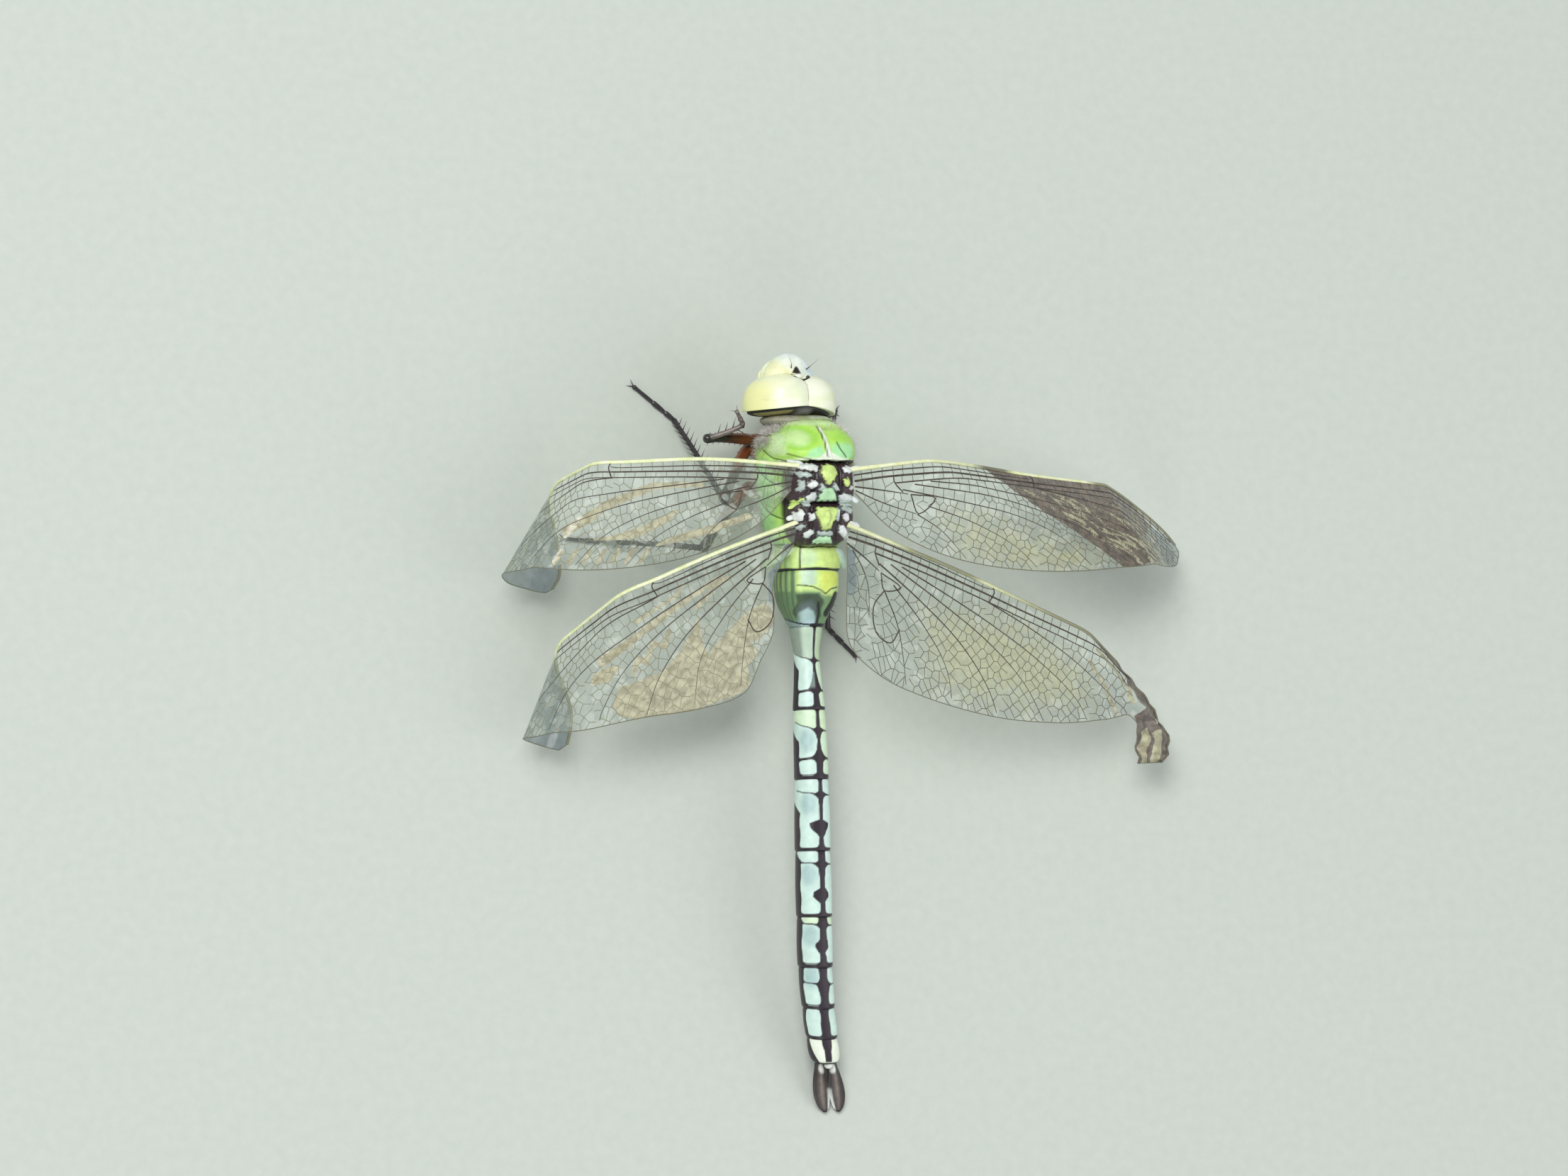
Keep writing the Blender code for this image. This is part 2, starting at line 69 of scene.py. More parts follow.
# ---------------------------------------------------------------------------------------------
# Stance. The body is pitched nose-up over the floor, on mid and hind feet and on the tail's tip;
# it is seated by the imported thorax, whose front face is a known place in the body frame.
PITCH = math.radians(8.0)
THORAX_Y, THORAX_HEIGHT, THORAX_FRONT = 13.0, 9.8, (7.85, -3.6)
thorax_low, thorax_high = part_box("thorax")
stance_y = thorax_low.y - MM * (THORAX_FRONT[0] * math.cos(PITCH) + THORAX_FRONT[1] * math.sin(PITCH))
stance = (
    Matrix.Translation(((thorax_low.x + thorax_high.x) / 2, stance_y,
                        MM * (THORAX_HEIGHT + THORAX_Y * math.sin(PITCH))))
    @ Matrix.Rotation(-PITCH, 4, "X")
    @ Matrix.Scale(MM, 4)
)


def placed(points, place):
    """Rows of points in millimetres, carried by a matrix to metres in the room."""
    matrix = np.array(place)
    return np.asarray(points, float).reshape(-1, 3) @ matrix[:3, :3].T + matrix[:3, 3]


# ---------------------------------------------------------------------------------------------
# Room: a plain pale floor, soft lamps over it, and the camera, which looks down on the animal's
# back from above and a little to its left.
def start_finish(name, **settings):
    """A new node-based finish: its node tree and its Principled shader, with plain values set on it."""
    finish = bpy.data.materials.new(name)
    finish.use_nodes = True
    shader = finish.node_tree.nodes["Principled BSDF"]
    for socket, value in settings.items():
        shader.inputs[socket.replace("_", " ")].default_value = value
    return finish, finish.node_tree, shader


def new_node(tree, kind, inputs, **settings):
    """Adds a node, sets its properties, and links or sets its numbered or named inputs."""
    node = tree.nodes.new(kind)
    for key, value in settings.items():
        setattr(node, key, value)
    for key, value in inputs.items():
        if isinstance(value, bpy.types.NodeSocket):
            tree.links.new(value, node.inputs[key])
        else:
            node.inputs[key].default_value = value
    return node


def add_node(tree, kind, inputs, **settings):
    return new_node(tree, "ShaderNode" + kind, inputs, **settings)


def mix(tree, share, below, above):
    """Colour that runs from below to above as the share goes from 0 to 1."""
    node = add_node(tree, "Mix", {0: share, 6: below, 7: above}, data_type="RGBA")
    return node.outputs[2]


def math_of(tree, operation, first, second=0.0):
    return add_node(tree, "Math", {0: first, 1: second}, operation=operation).outputs[0]


def fit(tree, value, low, high, to_low=0.0, to_high=1.0):
    """The value's place between low and high, as a share that stays from to_low to to_high."""
    return add_node(tree, "MapRange", {0: value, 1: low, 2: high, 3: to_low, 4: to_high}).outputs[0]


def noise(tree, where, scale, detail=2.0, stretch=(1.0, 1.0, 1.0)):
    """Soft noise about 0.5 on these coordinates; scale is in spots per metre, or per unit of a UV map."""
    turned = add_node(tree, "Mapping", {0: where, 3: stretch}).outputs[0]
    return add_node(tree, "TexNoise", {"Vector": turned, "Scale": scale, "Detail": detail}).outputs[0]


def place_of(tree):
    return add_node(tree, "TexCoord", {}).outputs["Object"]


def emboss(tree, shader, height, distance, strength=1.0):
    """Feeds a height in the shader's bump, as deep as this distance in metres."""
    inputs = {"Height": height, "Distance": distance, "Strength": strength}
    tree.links.new(add_node(tree, "Bump", inputs).outputs[0], shader.inputs["Normal"])


def tint(red, green, blue):
    """Linear colour from the 0 to 255 values of a colour chart."""
    parts = [c / 255 for c in (red, green, blue)]
    return (*(c / 12.92 if c < 0.04045 else ((c + 0.055) / 1.055) ** 2.4 for c in parts), 1.0)


def new_object(name, data):
    """An object that holds this data, linked in the scene."""
    thing = bpy.data.objects.new(name, data)
    bpy.context.scene.collection.objects.link(thing)
    return thing


FLOOR_SIZE = 3.0
floor_finish, tree, shader = start_finish("pale_floor", Roughness=0.9, Specular_IOR_Level=0.2)
speckle = noise(tree, place_of(tree), 900.0)
tree.links.new(mix(tree, speckle, tint(196, 202, 192), tint(206, 211, 201)), shader.inputs["Base Color"])
half = FLOOR_SIZE / 2
floor_mesh = bpy.data.meshes.new("floor")
corners = [(x * half, y * half, 0) for x, y in ((-1, -1), (1, -1), (1, 1), (-1, 1))]
floor_mesh.from_pydata(corners, [], [(0, 1, 2, 3)])
floor_mesh.materials.append(floor_finish)
floor = new_object("floor", floor_mesh)
floor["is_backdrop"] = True

world = bpy.data.worlds.new("room")
world.use_nodes = True
for key, value in (("Color", tint(232, 240, 246)), ("Strength", 0.45)):
    world.node_tree.nodes["Background"].inputs[key].default_value = value
bpy.context.scene.world = world
bpy.context.scene.view_settings.view_transform = "Standard"
LAMPS = {  # place, size and power of each soft lamp; all point at the thorax
    "key": ((0.28, -0.22, 0.62), 0.34, 3.2),
    "fill": ((-0.45, 0.2, 0.45), 0.5, 1.0),
    "rim": ((0.1, 0.55, 0.3), 0.3, 0.8),
}
for name, (place, size, power) in LAMPS.items():
    light = bpy.data.lights.new(name, "AREA")
    light.size = size
    light.energy = power
    lamp = new_object(name, light)
    lamp.location = place
    lamp.rotation_euler = (-Vector(place)).to_track_quat("-Z", "Y").to_euler()

TARGET = (2.2, 24.2, -0.8)  # body point at the middle of the view
DISTANCE, VIEW_WIDTH = 0.6, 0.1615  # from camera to target, and the view's width there, in metres
TOWARDS_CAMERA, TOWARDS_VIEW_RIGHT = (0.342, 0.131, 0.9305), (-0.94, 0.0476, 0.3387)
towards = Vector(TOWARDS_CAMERA).normalized()
screen_up = towards.cross(Vector(TOWARDS_VIEW_RIGHT)).normalized()
screen_right = screen_up.cross(towards)
camera_data = bpy.data.cameras.new("camera")
camera_data.lens = camera_data.sensor_width * DISTANCE / VIEW_WIDTH
camera = new_object("camera", camera_data)
turn = Matrix((screen_right, screen_up, towards)).transposed().to_4x4()
camera.matrix_world = Matrix.Translation(stance @ Vector(TARGET) + towards * DISTANCE) @ turn
bpy.context.scene.camera = camera


# ---------------------------------------------------------------------------------------------
# Head. The two eyes meet over the skull and are cut off behind, where the black nape covers them.
# They are cast shells with fine facets, cream with yellow rims, and a thin grey seam between them.
HEAD_AT, HEAD_ROLL, HEAD_TURN = (1.43, 0.0, -1.6), math.radians(15.0), math.radians(-2.5)
EYE_CENTRE, EYE_RADII, EYE_SEAM = (1.45, 5.55, 0.1), (3.55, 3.3, 3.85), 0.006
EYE_REAR, EYE_REAR_SWEEP, EYE_REAR_LEAN, EYE_TOP_LEAN, EYE_BLUNT = 5.58, 0.15, -0.03, 0.14, 0.8
EYE_ROWS, EYE_SIDES, EYE_POLE, CUT_STEPS = 90, 150, 0.02, 600
EYE_CLOSING, EYE_LEDGE = (0.97, 0.9, 0.6, 0.2), 0.05  # sizes and depth of the rows that close its rear
SEAM_SOFT = 0.03  # millimetres over which the two eyes flatten on one another
turn_point = Matrix.Translation((0.0, EYE_CENTRE[1], 0.0))
neck = (
    stance
    @ Matrix.Translation(HEAD_AT)
    @ Matrix.Rotation(-HEAD_ROLL, 4, "Y")
    @ turn_point
    @ Matrix.Rotation(HEAD_TURN, 4, "Z")
    @ turn_point.inverted()
)


def add_piece(name, points, faces, finish, place=stance):
    """A smooth mesh object at the origin, from points in millimetres that a matrix carries to the room."""
    mesh = bpy.data.meshes.new(name)
    mesh.from_pydata(placed(points, place).tolist(), [], [tuple(face) for face in faces])
    mesh.shade_smooth()
    mesh.materials.append(finish)
    return new_object(name, mesh)


def tube_faces(rows, sides):
    """Outward faces of a tube of rows of points, with a pole behind them for each end."""
    faces = []
    for j in range(sides):
        k = (j + 1) % sides
        faces += [(i * sides + j, i * sides + k, (i + 1) * sides + k, (i + 1) * sides + j)
                  for i in range(rows - 1)]
        faces += [(rows * sides, k, j), (rows * sides + 1, (rows - 1) * sides + j, (rows - 1) * sides + k)]
    return faces


def paint(piece, dark=0.0, second=0.0, third=0.0, fourth=0.0):
    """Stores how much of each marking covers each point, as the colour attribute Marks."""
    count = len(piece.data.vertices)
    layers = [np.broadcast_to(layer, (count,)) for layer in (dark, second, third, fourth)]
    marks = piece.data.color_attributes.new("Marks", "FLOAT_COLOR", "POINT")
    marks.data.foreach_set("color", np.clip(np.stack(layers, 1, dtype=float), 0.0, 1.0).ravel())


def past(value, edge, soft=0.1):
    """0 before the edge and 1 past it, over a soft border this wide; numbers or arrays."""
    share = np.clip((np.asarray(value, float) - edge) / soft + 0.5, 0.0, 1.0)
    return share * share * (3.0 - 2.0 * share)


def within(value, low, high, soft=0.1):
    return past(value, low, soft) * (1.0 - past(value, high, soft))


def spot(x, y, centre, radii, soft=0.3):
    """1 inside an ellipse and 0 outside it; soft is a share of its size."""
    return 1.0 - past(np.hypot((x - centre[0]) / radii[0], (y - centre[1]) / radii[1]), 1.0, soft)


def gap_to(x, y, path):
    """Distance of each place from a broken line of points."""
    near = np.full(np.shape(x), 1e9)
    for (ax, ay), (bx, by) in zip(path, path[1:]):
        run, rise = bx - ax, by - ay
        along = np.clip(((x - ax) * run + (y - ay) * rise) / (run**2 + rise**2), 0, 1)
        near = np.minimum(near, np.hypot(x - ax - along * run, y - ay - along * rise))
    return near


def stroke(x, y, path, width, soft=0.06):
    """1 along a broken line of points, and 0 further from it than half the width."""
    return 1.0 - past(gap_to(x, y, path), width / 2, soft)


def marks_of(tree):
    """Shares of the four painted markings: dark, second, third and fourth."""
    marks = add_node(tree, "VertexColor", {}, layer_name="Marks")
    parts = add_node(tree, "SeparateColor", {0: marks.outputs["Color"]}).outputs
    return parts[0], parts[1], parts[2], marks.outputs["Alpha"]


def shell_finish(name, base, dark, second, third, fourth=(255, 255, 255), mottle=0.12, **settings):
    """Chitin: a base colour under four painted markings, faintly mottled, with a fine grained bump."""
    finish, tree, shader = start_finish(name, **settings)
    place = place_of(tree)
    darkened, *shares = marks_of(tree)
    colour = tint(*base)
    for share, over in zip(shares, (second, third, fourth)):
        colour = mix(tree, share, colour, tint(*over))
    clouds = fit(tree, noise(tree, place, 1400.0, 4.0), 0.3, 0.7, 1.0 - mottle, 1.0 + mottle / 3)
    shade = add_node(tree, "VectorMath", {0: colour, 3: clouds}, operation="SCALE").outputs[0]
    tree.links.new(mix(tree, darkened, shade, tint(*dark)), shader.inputs["Base Color"])
    emboss(tree, shader, noise(tree, place, 12000.0, 3.0), 0.00003, 0.5)
    return finish


eye_finish, tree, shader = start_finish("eye", Roughness=0.3, Coat_Weight=0.25, Coat_Roughness=0.25)
place = place_of(tree)
grey, yellow, streaked, _ = marks_of(tree)
clouds = fit(tree, noise(tree, place, 420.0, 3.0, (1.0, 2.2, 1.0)), 0.42, 0.68)
cream = mix(tree, clouds, tint(250, 252, 228), tint(240, 245, 208))
cream = mix(tree, yellow, cream, tint(250, 248, 168))
cream = mix(tree, streaked, cream, tint(196, 204, 164))
tree.links.new(mix(tree, grey, cream, tint(150, 156, 138)), shader.inputs["Base Color"])
facets = add_node(tree, "TexVoronoi", {"Vector": place, "Scale": 14000.0}).outputs["Distance"]
emboss(tree, shader, facets, 0.00002, 0.35)


def eye_surface(side, polar, around):
    """Points of an eye, polar from its front and around from its top; the top leans forward."""
    x = side * EYE_CENTRE[0] + EYE_RADII[0] * np.sin(polar) * np.sin(around)
    z = EYE_CENTRE[2] + EYE_RADII[2] * np.sin(polar) * np.cos(around)
    depth = np.sign(np.cos(polar)) * np.abs(np.cos(polar)) ** EYE_BLUNT
    y = EYE_CENTRE[1] - EYE_RADII[1] * depth - EYE_TOP_LEAN * np.maximum(z, 0.0)
    return np.stack([x, y, z], -1)


def eye_rear(x, z):
    return EYE_REAR + EYE_REAR_SWEEP * (np.hypot(x, 0.7) - 0.7) + EYE_REAR_LEAN * z


for side, label in ((1, "left"), (-1, "right")):
    around = 2 * np.pi * np.arange(EYE_SIDES) / EYE_SIDES
    polar = np.linspace(0.0, np.pi, CUT_STEPS)[:, None]
    trial = eye_surface(side, polar, around)
    rim = polar[np.argmax(trial[..., 1] > eye_rear(trial[..., 0], trial[..., 2]), axis=0), 0]
    rows = [eye_surface(side, share * rim, around) for share in np.linspace(EYE_POLE, 1.0, EYE_ROWS)]
    for share in EYE_CLOSING:
        row = rows[EYE_ROWS - 1] * (share, 1.0, share) + (side * EYE_CENTRE[0] * (1 - share), 0.0, 0.0)
        row[:, 1] = eye_rear(row[:, 0], row[:, 2]) + EYE_LEDGE
        rows.append(row)
    points = np.concatenate(rows + [rows[0].mean(0)[None] - (0, 0.002, 0), rows[-1].mean(0)[None]])
    inward = (side * points[:, 0] - EYE_SEAM) / SEAM_SOFT
    points[:, 0] = side * (EYE_SEAM + SEAM_SOFT * np.logaddexp(0.0, inward))
    eye = add_piece(label + "_eye", points, tube_faces(len(rows), EYE_SIDES), eye_finish, neck)
    x, y, z = points.T
    seam = (1.0 - past(side * x, 0.09, 0.06)) * within(y, 2.9, 5.0, 0.5) * past(z, 1.0)
    rim_yellow = past(side * x, 3.9, 1.6) * past(y, 3.2, 2.0) * (1 if side > 0 else 0.2)
    rim_yellow += 0.35 * within(y, 2.0, 3.6, 1.0) * past(side * x, 2.0, 2.0) * (1 if side > 0 else 0.3)
    streaks = stroke(x, y, [(3.3, 5.12), (3.8, 5.2), (4.6, 5.08)], 0.1, 0.12)
    streaks += 0.45 * stroke(x, y, [(0.9, 3.0), (1.9, 3.6), (3.4, 4.3), (4.4, 4.8)], 0.35, 0.6)
    streaks += 0.6 * stroke(x, y, [(-2.4, 3.1), (-3.1, 3.9), (-3.7, 4.9)], 0.4, 0.7)
    paint(eye, 0.4 * seam, 0.85 * rim_yellow, 0.4 * streaks * past(z, 0.5))
    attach(eye, "root")
    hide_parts("eye_" + label)

# Nape: the black rear wall of the head, with a pale strip on its left and a grey lobe at its middle.
# It is one flat cast, bent to the eyes' cut rear and glued there, and stands for the skull too.
NAPE_CENTRE, NAPE_RADII, NAPE_GRID = (0.0, 5.75, 0.0), (4.55, 0.8, 3.65), (60, 150)


def ball_points(centre, radii, rows, sides):
    """Rows of points of an ellipsoid whose poles lie along y, then its two poles."""
    polar = np.pi * (np.arange(rows) + 0.5) / rows
    around = 2 * np.pi * np.arange(sides) / sides
    ring = np.sin(polar)[:, None]
    ahead = -np.cos(polar)[:, None] + 0.0 * around
    unit = np.stack([ring * np.sin(around), ahead, ring * np.cos(around)], -1)
    unit = np.concatenate([unit.reshape(-1, 3), [(0.0, -1.0, 0.0), (0.0, 1.0, 0.0)]])
    return unit * radii + centre


nape_finish = shell_finish("nape", (26, 24, 22), (14, 12, 12), (150, 142, 88), (118, 116, 112),
                           Roughness=0.5)
points = ball_points(NAPE_CENTRE, NAPE_RADII, *NAPE_GRID)
lobe = spot(points[:, 0], points[:, 2], (0.35, 2.5), (1.0, 1.5), 0.8) * past(points[:, 1], 5.75, 0.4)
points[:, 1] += eye_rear(points[:, 0], points[:, 2]) - EYE_REAR + 0.3 * lobe
nape = add_piece("nape", points, tube_faces(*NAPE_GRID), nape_finish, neck)
x, y, z = points.T
ridge = y - eye_rear(x, z) + EYE_REAR
paint(nape, 0.0, within(x, 1.7, 4.7, 0.4) * within(ridge, 5.92, 6.3, 0.1) * past(z, 0.0), 0.8 * lobe)
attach(nape, "root")
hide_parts("head")

# Face: frons, clypeus, labrum and labium, four overlapping plates under the eyes, pale yellow and
# sky blue. The frons carries a black mark and, behind it, the small white vertex with its dark base.
FACE = {  # centre, radii
    "frons": ((0.25, 2.45, 0.1), (2.85, 2.45, 1.7)),
    "clypeus": ((0.15, 2.3, -1.5), (2.4, 1.8, 1.0)),
    "labrum": ((0.1, 2.5, -2.75), (1.95, 1.4, 0.8)),
    "labium": ((0.0, 4.0, -3.6), (1.9, 1.8, 0.7)),
}
PLATE_GRID, MARK_X = (70, 140), 0.36
face_finish = shell_finish("face", (246, 246, 196), (34, 24, 22), (216, 238, 252), (176, 120, 62),
                           (250, 252, 236), Roughness=0.38)
for name, (centre, radii) in FACE.items():
    points = ball_points(centre, radii, *PLATE_GRID)
    x, y, z = points.T
    if name == "frons":
        points[:, 0] = centre[0] + (x - centre[0]) * (0.84 + 0.08 * y)
        x = points[:, 0]
        sky = past(0.9 * (2.0 - y) - 0.6 * x, 0.35, 2.6) * past(z, -0.6, 2.0)
        half = 0.14 + 0.62 * (y - 1.42)
        triangle = within(y, 1.42, 2.12, 0.1) * (1 - past(np.abs(x - MARK_X), half, 0.12))
        brown = stroke(x, y, [(2.6, 2.6), (1.9, 2.34), (1.3, 2.28), (1.05, 2.36)], 0.1) * past(z, 0.6)
        # The front of the frons is painted near white, a painted highlight.
        paint_marks = (triangle * past(z, 0.8), sky, brown, 0.8 * spot(x, y, (0.3, 0.9), (1.5, 0.9), 0.9))
    elif name == "labrum":
        paint_marks = (1 - past(z, -3.1, 0.15), 0.0, 0.2 * within(z, -3.1, -2.9), 0.0)
    else:
        middle = centre[2]
        crease = stroke(x, z, [(-2.2, middle - 0.2), (0.0, middle - 0.45), (2.2, middle - 0.2)], 0.1)
        paint_marks = (0.0, 0.3 * past(z, middle), 0.5 * crease, 0.0)
    plate = add_piece(name + "_plate", points, tube_faces(*PLATE_GRID), face_finish, neck)
    paint(plate, *paint_marks)
    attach(plate, "root")
    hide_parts(name)

# Vertex: the small white bump behind the frons, with a dark base. It is a cast bead, glued on.
VERTEX_CENTRE, VERTEX_RADII, VERTEX_GRID = (MARK_X - 0.1, 2.42, 1.98), (0.56, 0.26, 0.32), (20, 36)
vertex_points = ball_points(VERTEX_CENTRE, VERTEX_RADII, *VERTEX_GRID)
vertex = add_piece("vertex", vertex_points, tube_faces(*VERTEX_GRID), face_finish, neck)
paint(vertex, 1 - past(vertex_points[:, 2], 1.9, 0.1), 0.0, 0.0, 1.0)
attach(vertex, "root")
OCELLUS_GRID = (12, 20)
OCELLI = {  # the three small eyes between the large ones: centre, radius
    "ocellus_left": ((1.12, 2.4, 2.0), 0.16),
    "ocellus_right": ((-0.72, 2.5, 2.3), 0.22),
    "ocellus_middle": ((0.32, 2.14, 1.86), 0.12),
}
for name, (centre, radius) in OCELLI.items():
    points = ball_points(centre, (radius, radius, radius), *OCELLUS_GRID)
    ocellus = add_piece(name, points, tube_faces(*OCELLUS_GRID), nape_finish, neck)
    paint(ocellus, 0.0, 0.6 if name == "ocellus_left" else 0.0, 0.2)
    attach(ocellus, "root")

# Feelers: two short joints, then a bristle that thins to a hair. They are drawn dark wire, set in
# front of the vertex. A rim of the same wire lines the eyes' front corner behind the vertex.
ANTENNA = [(0.95, 1.6, 1.6), (1.08, 1.43, 1.82), (1.25, 1.2, 2.05), (1.6, 0.8, 2.3), (1.95, 0.35, 2.42)]
ANTENNA_RADII = [0.07, 0.06, 0.025, 0.014, 0.008]


def limb(path, radii, sides=16):
    """Points and faces of a closed round limb along a path, as thick as the radii say at each point."""
    path = [Vector(p) for p in path]
    rows, frame_x = [], Vector((0.0, 0.0, 1.0))
    for i, (point, radius) in enumerate(zip(path, radii)):
        axis = (path[min(i + 1, len(path) - 1)] - path[max(i - 1, 0)]).normalized()
        frame_x = (frame_x - axis * frame_x.dot(axis)).normalized()
        frame_y = axis.cross(frame_x)
        for j in range(sides):
            angle = 2 * math.pi * j / sides
            rows.append(point + float(radius) * (math.cos(angle) * frame_x + math.sin(angle) * frame_y))
    ends = [path[0] - (path[1] - path[0]).normalized() * radii[0] * 0.5,
            path[-1] + (path[-1] - path[-2]).normalized() * radii[-1] * 0.5]
    return np.array([tuple(p) for p in rows + ends]), tube_faces(len(path), sides)


def refined(path, steps):
    """The path with extra points on a smooth curve through its own."""
    points = [Vector(p) for p in path]
    padded = [2 * points[0] - points[1], *points, 2 * points[-1] - points[-2]]
    fine = []
    for before, start, end, after in zip(padded, padded[1:], padded[2:], padded[3:]):
        bend = 2 * before - 5 * start + 4 * end - after
        twist = 3 * start - before - 3 * end + after
        for k in range(steps):
            t = k / steps
            fine.append(0.5 * (2 * start + (end - before) * t + bend * t * t + twist * t**3))
    return [tuple(p) for p in fine + [points[-1]]]


bristle_finish = shell_finish("dark_bristle", (46, 34, 28), (20, 16, 14), (120, 84, 50), (90, 80, 60),
                              Roughness=0.45)
VERTEX_RIM = [(1.15, 2.46, 2.5), (0.8, 2.68, 2.6), (0.25, 2.82, 2.6), (-0.3, 2.74, 2.52),
              (-0.78, 2.56, 2.38)]
rim_path = refined(VERTEX_RIM, 5)
points, faces = limb(rim_path, np.linspace(0.07, 0.15, len(rim_path)), 10)
vertex_rim = add_piece("vertex_rim", points, faces, bristle_finish, neck)
paint(vertex_rim, 0.8)
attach(vertex_rim, "root")
for side, label in ((1, "left"), (-1, "right")):
    path = refined([(side * x, y, z) for x, y, z in ANTENNA], 6)
    places = np.linspace(0, len(ANTENNA) - 1, len(path))
    radii = np.interp(places, range(len(ANTENNA)), ANTENNA_RADII)
    points, faces = limb(path, radii, 12)
    antenna = add_piece(label + "_feeler", points, faces, bristle_finish, neck)
    paint(antenna, 0.0, 1 - past(points[:, 2], 2.8, 0.4))
    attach(antenna, "root")
    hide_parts("antenna_" + label)

# ---------------------------------------------------------------------------------------------
# Thorax: a collar behind the head, then the big box that carries legs and wings. It is one cast
# shell, lime and mint, with a raised cream keel, dark sutures, and a dark roof between the wings.
COLLAR_X, COLLAR_GRID = 0.9, (30, 120)
COLLAR = [(6.3, 4.2, 0.4, -2.6), (6.5, 6.2, 1.5, -3.4), (6.85, 7.3, 2.1, -3.9), (7.2, 7.1, 2.0, -3.9),
          (7.5, 6.2, 1.7, -3.6)]
THORAX = [  # y, width, top, bottom
    (6.95, 4.6, 2.0, -3.2), (7.2, 5.6, 2.7, -3.9), (7.6, 6.5, 3.2, -4.4), (8.1, 7.4, 3.6, -4.9),
    (8.8, 8.7, 4.2, -5.4), (9.9, 9.4, 4.8, -5.9), (10.7, 9.6, 5.1, -6.2), (11.15, 9.6, 5.05, -6.2),
    (11.45, 9.6, 4.3, -6.15), (13.5, 9.5, 4.1, -5.8), (15.5, 9.3, 4.0, -5.2), (17.3, 8.9, 3.8, -4.5),
    (18.8, 8.0, 3.4, -3.9), (19.7, 7.0, 3.0, -3.4),
]
THORAX_ROWS, THORAX_SIDES, THORAX_POWER = 150, 260, 2.3
HUMP, HUMP_STRETCH = (2.3, 8.85), 1.32  # the round left shoulder
KEEL_FRONT, KEEL_X, KEEL_HALF = 7.8, -0.08, 0.12  # its y, x and half width where it starts
KEEL_SLANT, KEEL_SPREAD = -0.19, 0.03  # how x and half width change for each millimetre behind that


def smooth(pairs, at):
    """The value at this position on a smooth curve through (position, value) pairs."""
    last = len(pairs) - 1
    slopes = []
    for i in range(last + 1):
        (a, low), (b, high) = pairs[max(i - 1, 0)], pairs[min(i + 1, last)]
        slopes.append((high - low) / (b - a))
    i = next((i for i in range(last) if at <= pairs[i + 1][0]), last - 1)
    (a, low), (b, high) = pairs[i], pairs[i + 1]
    t = (at - a) / (b - a)
    bend = (t**3 - 2 * t**2 + t) * slopes[i] + (t**3 - t**2) * slopes[i + 1]
    return low + (high - low) * (3 * t**2 - 2 * t**3) + (b - a) * bend


def read_row(table, at):
    """The other columns of a table, read on smooth curves at this value of its first column."""
    return [smooth([(row[0], row[k]) for row in table], at) for k in range(1, len(table[0]))]


def hill(value, width):
    """A smooth rise to 1 where the value is 0, this wide to either side."""
    return np.exp(-((value / width) ** 2))


def ring_rows(sections, sides, power):
    """Rows of oval rings from (x, y, z, width, height, slope) sections, their angles, and end poles."""
    around = 2 * np.pi * np.arange(sides) / sides
    sine, cosine = np.sin(around), np.cos(around)
    out = np.sign(sine) * np.abs(sine) ** (2 / power)
    up = np.sign(cosine) * np.abs(cosine) ** (2 / power)
    rows = []
    for x, y, z, width, height, slope in sections:
        rise = height / 2 * up
        ring = [x + width / 2 * out, y - rise * math.sin(slope), z + rise * math.cos(slope)]
        rows.append(np.stack(ring, 1))
    poles = np.array([rows[0].mean(0), rows[-1].mean(0)])
    angles = np.degrees(np.arctan2(out, up))
    return np.concatenate(rows + [poles]), np.concatenate([np.tile(angles, len(rows)), [0.0, 0.0]])


def box_sections(table, rows, x=0.0):
    """Upright ring sections, evenly spaced along y, through (y, width, top, bottom) rows."""
    sections = []
    for y in np.linspace(table[0][0], table[-1][0], rows):
        width, top, low = read_row(table, y)
        sections.append((x, y, (top + low) / 2, width, top - low, 0.0))
    return sections


def area(x, y, outline, soft=0.1):
    """1 inside a closed outline of points and 0 outside it, over a soft border this wide."""
    closed = outline + outline[:1]
    near, inside = gap_to(x, y, closed), np.zeros(np.shape(x), bool)
    for (ax, ay), (bx, by) in zip(closed, closed[1:]):
        crosses = (ay > y) != (by > y)
        inside ^= crosses & (x < (bx - ax) * (y - ay) / ((by - ay) or 1e-9) + ax)
    return past(np.where(inside, near, -near), 0.0, soft)


thorax_finish = shell_finish("thorax", (190, 238, 106), (34, 28, 26), (176, 240, 182), (160, 222, 58),
                             (240, 248, 226), 0.1, Roughness=0.4)
collar_finish = shell_finish("collar", (156, 168, 120), (60, 56, 48), (166, 162, 142), (180, 222, 104),
                             (232, 236, 220), 0.25, Roughness=0.6)
points, angles = ring_rows(box_sections(COLLAR, COLLAR_GRID[0], COLLAR_X), COLLAR_GRID[1], 2.4)
collar = add_piece("collar", points, tube_faces(*COLLAR_GRID), collar_finish)
x, y, z = points.T
grey_patch = 0.7 * spot(x, y, (-0.6, 7.3), (1.4, 0.4), 0.8)
white_rim = 0.5 * within(y, 6.5, 6.8, 0.2) * past(-x, -0.5, 1.0)
paint(collar, 0.5 * within(y, 7.3, 7.45, 0.08), past(x, 1.6, 1.4), grey_patch, white_rim)
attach(collar, "root")
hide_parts("prothorax")

